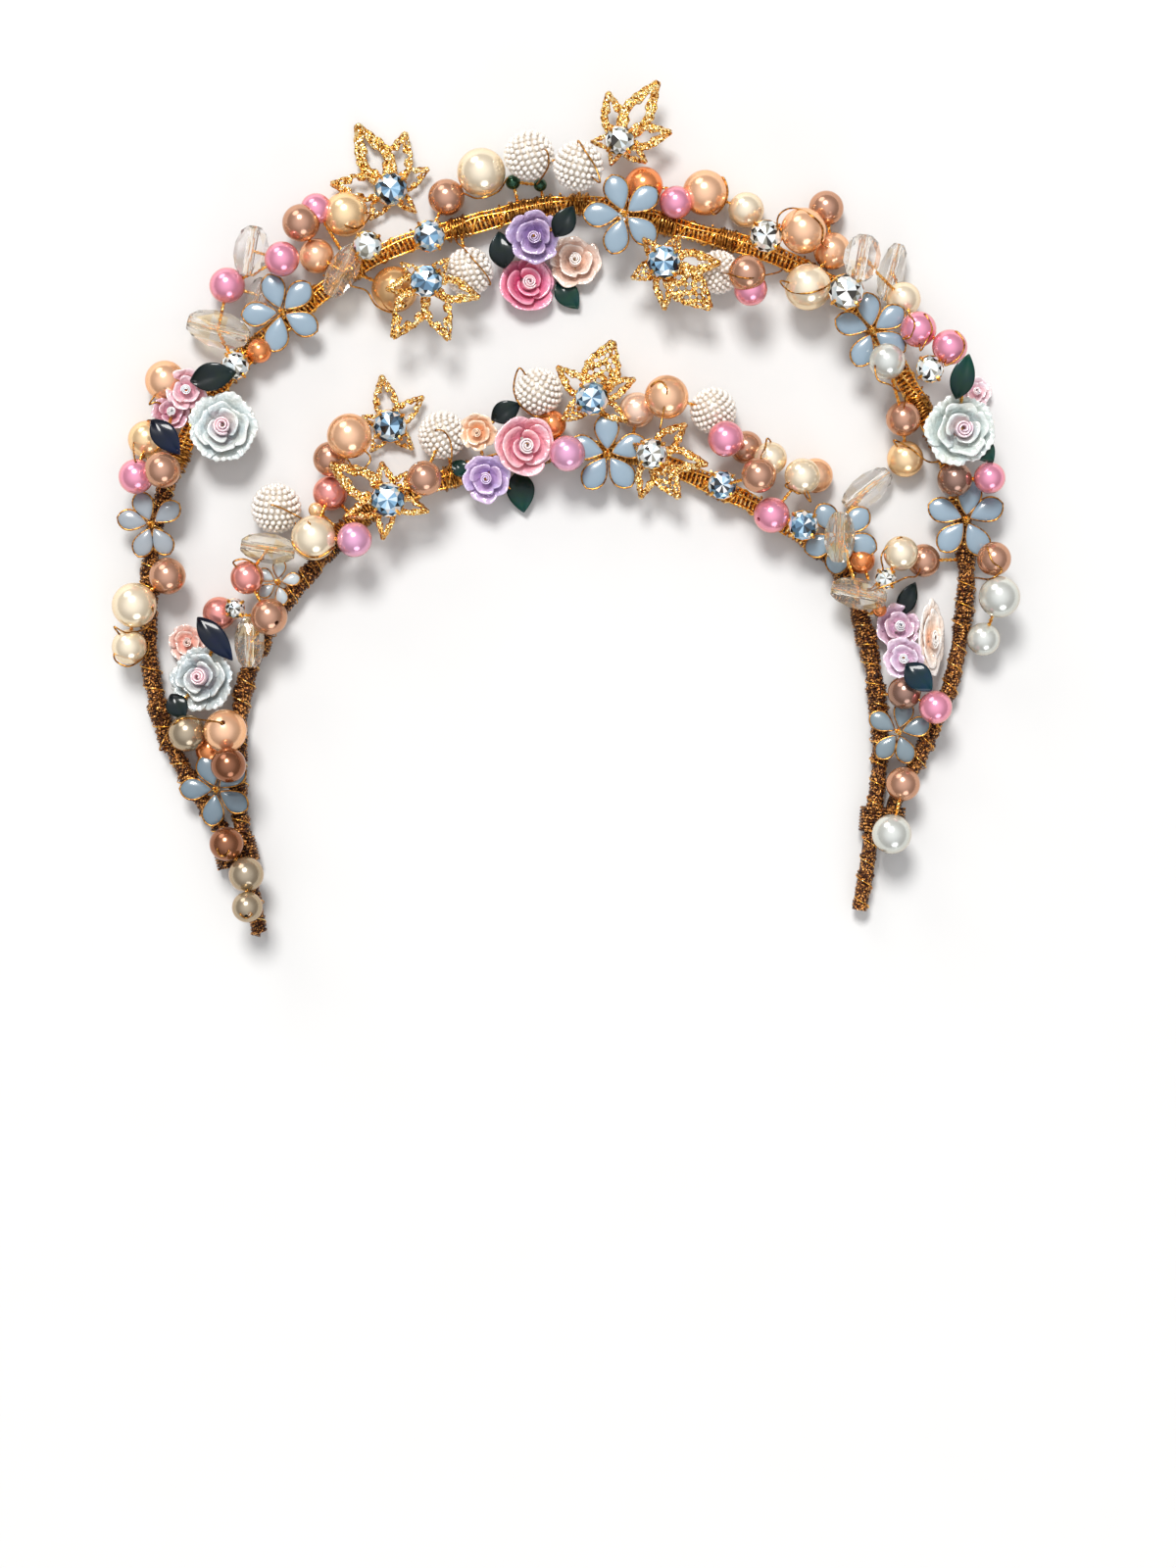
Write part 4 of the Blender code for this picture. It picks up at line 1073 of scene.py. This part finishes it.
def sheet(name, across, up, thickness, shape):
    """Thin sheet bent from a grid: shape gives the place of each (u, v) and its tone is v."""
    bpy.ops.mesh.primitive_grid_add(x_subdivisions=across, y_subdivisions=up, size=2)
    item = bpy.context.object
    item.name = name
    tones = []
    for corner in item.data.vertices:
        u, v = corner.co.x, (corner.co.y + 1) / 2
        corner.co = shape(u, v)
        tones.append(v ** 1.5)
    item.data.attributes.new("tone", "FLOAT", "POINT").data.foreach_set("value", tones)
    thickened(item, thickness)
    return item


def rose_model(kind):
    """Rose of radius 1 round the origin, opening towards +Z, and its bud."""
    draw = random.Random(len(kind))
    members = []
    for layer, (count, near, far, low, high, span, ruffle, crinkle) in enumerate(WHORLS[kind]):
        for number in range(count):
            bearing = math.tau * (number / count) + 0.7 * layer + draw.uniform(-0.18, 0.18)
            waves = draw.uniform(0, math.tau)
            reach = far * draw.uniform(0.9, 1.03)
            lift = high + draw.uniform(-0.07, 0.05)

            def shape(u, v):
                edge = 1 - 0.13 * abs(u) ** 4
                out = near + (reach - near) * (v ** 0.8) * edge
                out += 0.06 * u * v + ruffle * v ** 3 * math.sin(6 * u + waves)
                out += crinkle * max(0, v - 0.75) / 0.25 * math.sin(25 * u + waves)
                rise = low + (lift - low) * (v ** 1.5) * edge
                rise -= 0.16 * max(0, v - 0.75) / 0.25
                rise += ruffle * v ** 2 * math.sin(7 * u + 2 * waves) + 0.09 * u * v
                rise += crinkle * max(0, v - 0.75) / 0.25 * math.sin(22 * u + 2 * waves)
                turn = bearing + math.radians(span) * u * (
                    0.6 + 0.4 * math.sin(math.pi * min(v, 0.9) / 1.1))
                return out * math.cos(turn), out * math.sin(turn), rise

            members.append(sheet("rose_petal", 22 if crinkle > 0.04 else 9, 6, 0.055, shape))

    def rolled(u, v):
        turn = 1.25 * math.tau * (u + 1)
        out = 0.03 + 0.095 * (u + 1) + 0.03 * v
        return out * math.cos(turn), out * math.sin(turn), -0.1 + 0.64 * v - 0.05 * (u + 1)

    bud = sheet("bud", 40, 4, 0.07, rolled)
    rose = joined(kind + "_rose", members)
    for item in (rose, bud):
        item.data.materials.append(glaze)
    return rose, bud


models = {kind: rose_model(kind) for kind in WHORLS}
blooms = defaultdict(list)
draw = random.Random(3)
for node, px, py, diameter, kind, root, rim, bud_colour in every(ROSES):
    place = spot(px, py)
    radius = diameter / 2 * MM
    place.z = cad_top(node, place.x, place.y) - 0.5 * radius
    strung[node].append((place - UP * 0.6 * radius, 0.3 * radius))
    tilt = Matrix.Rotation(draw.uniform(-0.2, 0.2), 4, "X")
    tilt = tilt @ Matrix.Rotation(draw.uniform(-0.2, 0.2), 4, "Y")
    if kind == "shell":
        place.z = SHELL_HEIGHT
        tilt = Matrix.Diagonal((0.37, 1, 0.62, 1)) @ Matrix.Rotation(math.radians(24), 4, "Y")
    turn = Matrix.Rotation(draw.uniform(0, 6), 4, "Z")
    matrix = Matrix.Translation(place) @ tilt @ turn @ Matrix.Scale(radius, 4)
    rose, bud = models[kind]
    blooms[node].append(toned(copy_of(rose, matrix), root, rim))
    if bud_colour:
        root, rim = bud_colour, tuple(0.5 + 0.5 * part for part in bud_colour)
    blooms[node].append(toned(copy_of(bud, matrix), root, rim))
for pair in models.values():
    for used in pair:
        bpy.data.objects.remove(used)

# Glazed leaves: small pointed ceramic leaves, dark green to blue-black, tucked under the roses
# of each cluster.
SPRIGS = {
    "roses_outer_left": [(218, 385, 10.5, 6.4, 12, 0, 0.8), (173, 449, 10, 5.6, -50, 1, 1.6)],
    "roses_outer_centre": [(512, 254, 8.4, 6.0, 100, 0, 1), (576, 228, 8.0, 5.4, 60, 0, 1),
                           (579, 298, 7.8, 5.4, -50, 2, 1)],
    "roses_outer_right": [(978, 389, 10.4, 5.4, 75, 2, 0), (1002, 462, 6.4, 5.0, -50, 2, 2)],
    "roses_inner_left": [(220, 652, 12.4, 5.4, -50, 1, 1.8), (182, 721, 6.4, 5.0, -60, 0, 3)],
    "roses_inner_centre": [(516, 420, 7.4, 5.2, 30, 0, 1), (531, 500, 9.4, 6.4, -80, 2, 0),
                           (470, 478, 5.0, 3.8, -40, 2, 8)],
    "roses_inner_right": [(928, 610, 8.4, 4.4, 65, 0, 0), (935, 692, 8.4, 6.0, -45, 3, 0)],
}
LEAF_COLOURS = [((0.002, 0.005, 0.004), (0.007, 0.022, 0.015)),
                ((0.001, 0.003, 0.006), (0.003, 0.012, 0.03)),
                ((0.001, 0.014, 0.007), (0.006, 0.06, 0.03)),
                ((0.001, 0.008, 0.010), (0.003, 0.04, 0.045))]
LEAF_DOME = 3.0 * MM
LEAF_SINK = 0.9
LOWEST_GLAZED = 1.5 * MM
LEAF_GRIP = 0.8 * MM
dark_glaze = finish("dark_glaze", lambda here: {
    "Base Color": here.attribute("tint") * here.grain(2 * MM, 3).blend(
        (0.5, 0.6, 2.0), (1.7, 1.3, 0.8)),
    "Roughness": 0.25,
    "Specular IOR Level": 0.1,
    "Coat Weight": 0.4,
    "Coat Roughness": 0.05})


def pointed(u, v):
    """Leaf of half length and half width 1, folded along its rib."""
    along = 2 * v - 1
    half = (1 - abs(along) ** 2.2) * (1 - 0.2 * along)
    return along, u * half, 0.3 * (1 - along ** 2) + 0.2 * abs(u) - 0.2 * u * u + 0.22 * u * along


sprig = sheet("sprig", 8, 10, 0.12, pointed)
sprig.data.materials.append(dark_glaze)
for node, px, py, long, wide, turn, colour, drop in every(SPRIGS):
    place = spot(px, py)
    tip = place + heading(turn) * (long / 2 - 0.2) * MM
    place.z = max(cad_top(node, tip.x, tip.y, 0.6 * MM) - (LEAF_SINK + drop) * MM, LOWEST_GLAZED)
    size = Matrix.Diagonal((long / 2 * MM, wide / 2 * MM, LEAF_DOME, 1))
    strung[node].append((place, LEAF_GRIP))
    matrix = Matrix.Translation(place) @ Matrix.Rotation(math.radians(turn), 4, "Z") @ size
    blooms[node].append(toned(copy_of(sprig, matrix), *LEAF_COLOURS[colour]))
bpy.data.objects.remove(sprig)
for node, members in blooms.items():
    assemble(node.replace("roses", "rose_cluster"), members, "glazed_ceramic", node)

# Spray wires: pairs of fine gilt wire twisted together, from bead to bead and down to the arch,
# where they are wrapped round it a few times.
TWIST_RADIUS = 0.24 * MM
TWIST_STEP = 0.35 * MM
LONGEST_TWIST = 26 * MM
BRIGHT_ABOVE = spot(0, 545).y
twists = []
wraps = []
cord_wraps = []


def twisted(start, end):
    """Two strands twisted round the line between two places."""
    run = end - start
    turn = facing(run)
    steps = max(4, int(run.length / TWIST_STEP))
    for phase in (0, math.pi):
        twists.append([start + run * step / steps
                       + turn @ Vector((TWIST_RADIUS * math.cos(1.1 * step + phase),
                                        TWIST_RADIUS * math.sin(1.1 * step + phase), 0))
                       for step in range(steps + 1)])


for node, rows in strung.items():
    places = [place for place, _ in rows]
    for number in range(1, len(places)):
        nearest = min(places[:number], key=lambda other: (other - places[number]).length)
        if (nearest - places[number]).length < LONGEST_TWIST:
            twisted(nearest, places[number])
    tucked = node in ("outer_spray", "inner_spray")
    for group in [[place] for place in places] if tucked else [places]:
        _, number, place, route = min(
            ((foot - place).length, number, place, route)
            for place in group for route in (outer_route, inner_route)
            for number, (foot, _) in enumerate(route))
        foot = route[number][0]
        twisted(place, foot + (place - foot).normalized() * 2.0 * MM)
        start = max(0.0, (number - 1.8) * ROUTE_STEP)
        end = min((len(route) - 1.1) * ROUTE_STEP, (number + 1.8) * ROUTE_STEP)
        radius = BAND_DIAMETER / 2
        if foot.y < BRIGHT_ABOVE:
            cord_wraps.append(winding(route, start, end, 0.98 * radius, 0.62 * MM, 14, 0.04, number))
        else:
            wraps.append(winding(route, start, end, 1.08 * radius, 0.62 * MM, 14, 0.04, number))
            wraps.append(winding(route, max(0.0, start - 2 * MM), end, 1.18 * radius,
                                 -2.6 * MM, 16, 0.08, number))

# Loops of the same wire that show: up from the arch, over or round a bead, and back.
LOOPS = [
    [(117, 668), (121, 676), (134, 680), (149, 668), (152, 655)],
    [(118, 640), (131, 646), (150, 640), (158, 622)],
    [(136, 452), (141, 473), (146, 466), (152, 470)],
    [(912, 449), (930, 458), (945, 470), (955, 471)],
    [(890, 600), (900, 585), (898, 570), (903, 560), (918, 549)],
    [(890, 603), (912, 595), (924, 590), (935, 588)],
    [(163, 765), (171, 748), (180, 738), (190, 733), (209, 735), (229, 738)],
    [(664, 396), (673, 391), (680, 400), (677, 420), (673, 440)],
    [(775, 470), (780, 458), (782, 449), (786, 451)],
    [(800, 497), (808, 502), (815, 505)],
    [(820, 505), (823, 511), (826, 513)],
    [(795, 250), (792, 228), (800, 218), (813, 216), (828, 225), (838, 236), (838, 250)],
    [(795, 290), (805, 300), (822, 303), (838, 298), (848, 290)],
    [(890, 378), (893, 392), (905, 397), (915, 400), (921, 405)],
    [(358, 292), (374, 297), (384, 312), (400, 318), (414, 312)],
    [(473, 196), (488, 203), (508, 196), (517, 180)],
    [(353, 231), (364, 233), (372, 227), (378, 218)],
    [(738, 180), (743, 195), (738, 210), (728, 219)],
    [(590, 148), (597, 160), (607, 175), (612, 192)],
    [(558, 157), (560, 170), (555, 180), (548, 186)],
    [(466, 246), (472, 252), (485, 268), (497, 282), (500, 290)],
    [(278, 516), (290, 520), (307, 529), (318, 536)],
    [(445, 440), (453, 441), (460, 452), (461, 470), (455, 480)],
    [(530, 376), (524, 395), (530, 412), (545, 424), (560, 425), (558, 435)],
    [(742, 284), (760, 290), (780, 285), (796, 278)],
    [(941, 325), (948, 340), (942, 352), (936, 362)],
    [(972, 343), (980, 356), (974, 370), (960, 378)],
    [(925, 325), (930, 335), (926, 348), (918, 350)],
    [(152, 412), (160, 410), (172, 418), (176, 428)],
    [(150, 428), (163, 432), (165, 445), (158, 460)],
    [(355, 470), (362, 480), (372, 482), (380, 470)],
    [(300, 555), (312, 568), (328, 570), (342, 560)],
    [(240, 575), (252, 572), (264, 580), (268, 596)],
    [(1005, 560), (1010, 575), (1020, 583), (1008, 592), (996, 590)],
    [(236, 868), (231, 873), (226, 872), (224, 866)],
    [(248, 932), (254, 936), (260, 932)],
]
ARCH_RADIUS = 1.9 * MM
LOOP_REACH = 0.1 * MM
LOOP_GAP = 0.15 * MM
beads = [bead for rows in strung.values() for bead in rows]
anchors = beads + [(place, ARCH_RADIUS) for route in (outer_route, inner_route) for place, _ in route]


def closest(place):
    """The bead or stretch of arch closest to a place in the plan, as its middle and its radius."""
    return min(anchors, key=lambda anchor: (anchor[0] - place).xy.length - anchor[1])


def anchored(end):
    """Where a loop goes on to beyond its end."""
    centre, radius = closest(end)
    return centre + (end - centre).normalized() * 0.6 * radius


def lying_on(place):
    """Height at which a loop lies on the beads under a place, or None where there are none."""
    heights = []
    for centre, radius in beads:
        away = (place - centre).xy.length
        if away < radius + LOOP_REACH:
            heights.append(centre.z + math.sqrt(max(0.0, (radius + LOOP_GAP) ** 2 - away ** 2)))
    return max(heights, default=None)


loops = []
for rows in LOOPS:
    lain = [spot(px, py) for px, py in rows]
    heights = [lying_on(place) for place in lain]
    lying = [number for number, height in enumerate(heights) if height is not None]
    for number, place in enumerate(lain):
        if number in lying:
            place.z = heights[number]
            continue
        centre, radius = closest(place)
        near = min(lying, key=lambda other: abs(other - number)) if lying else None
        place.z = (centre.z + radius + (heights[near] if lying else centre.z + radius)) / 2
    loops.append(curve_through([anchored(lain[0])] + lain + [anchored(lain[-1])], 6))

assemble("spray_wires", [wires("twists", twists, 0.42 * MM, gilt_wire),
                         wires("wraps", wraps, 0.5 * MM, antique_gilt),
                         wires("cord_wraps", cord_wraps, 0.6 * MM, glitter_cord),
                         wires("loops", loops, 0.42 * MM, antique_gilt)], "wound_cord")
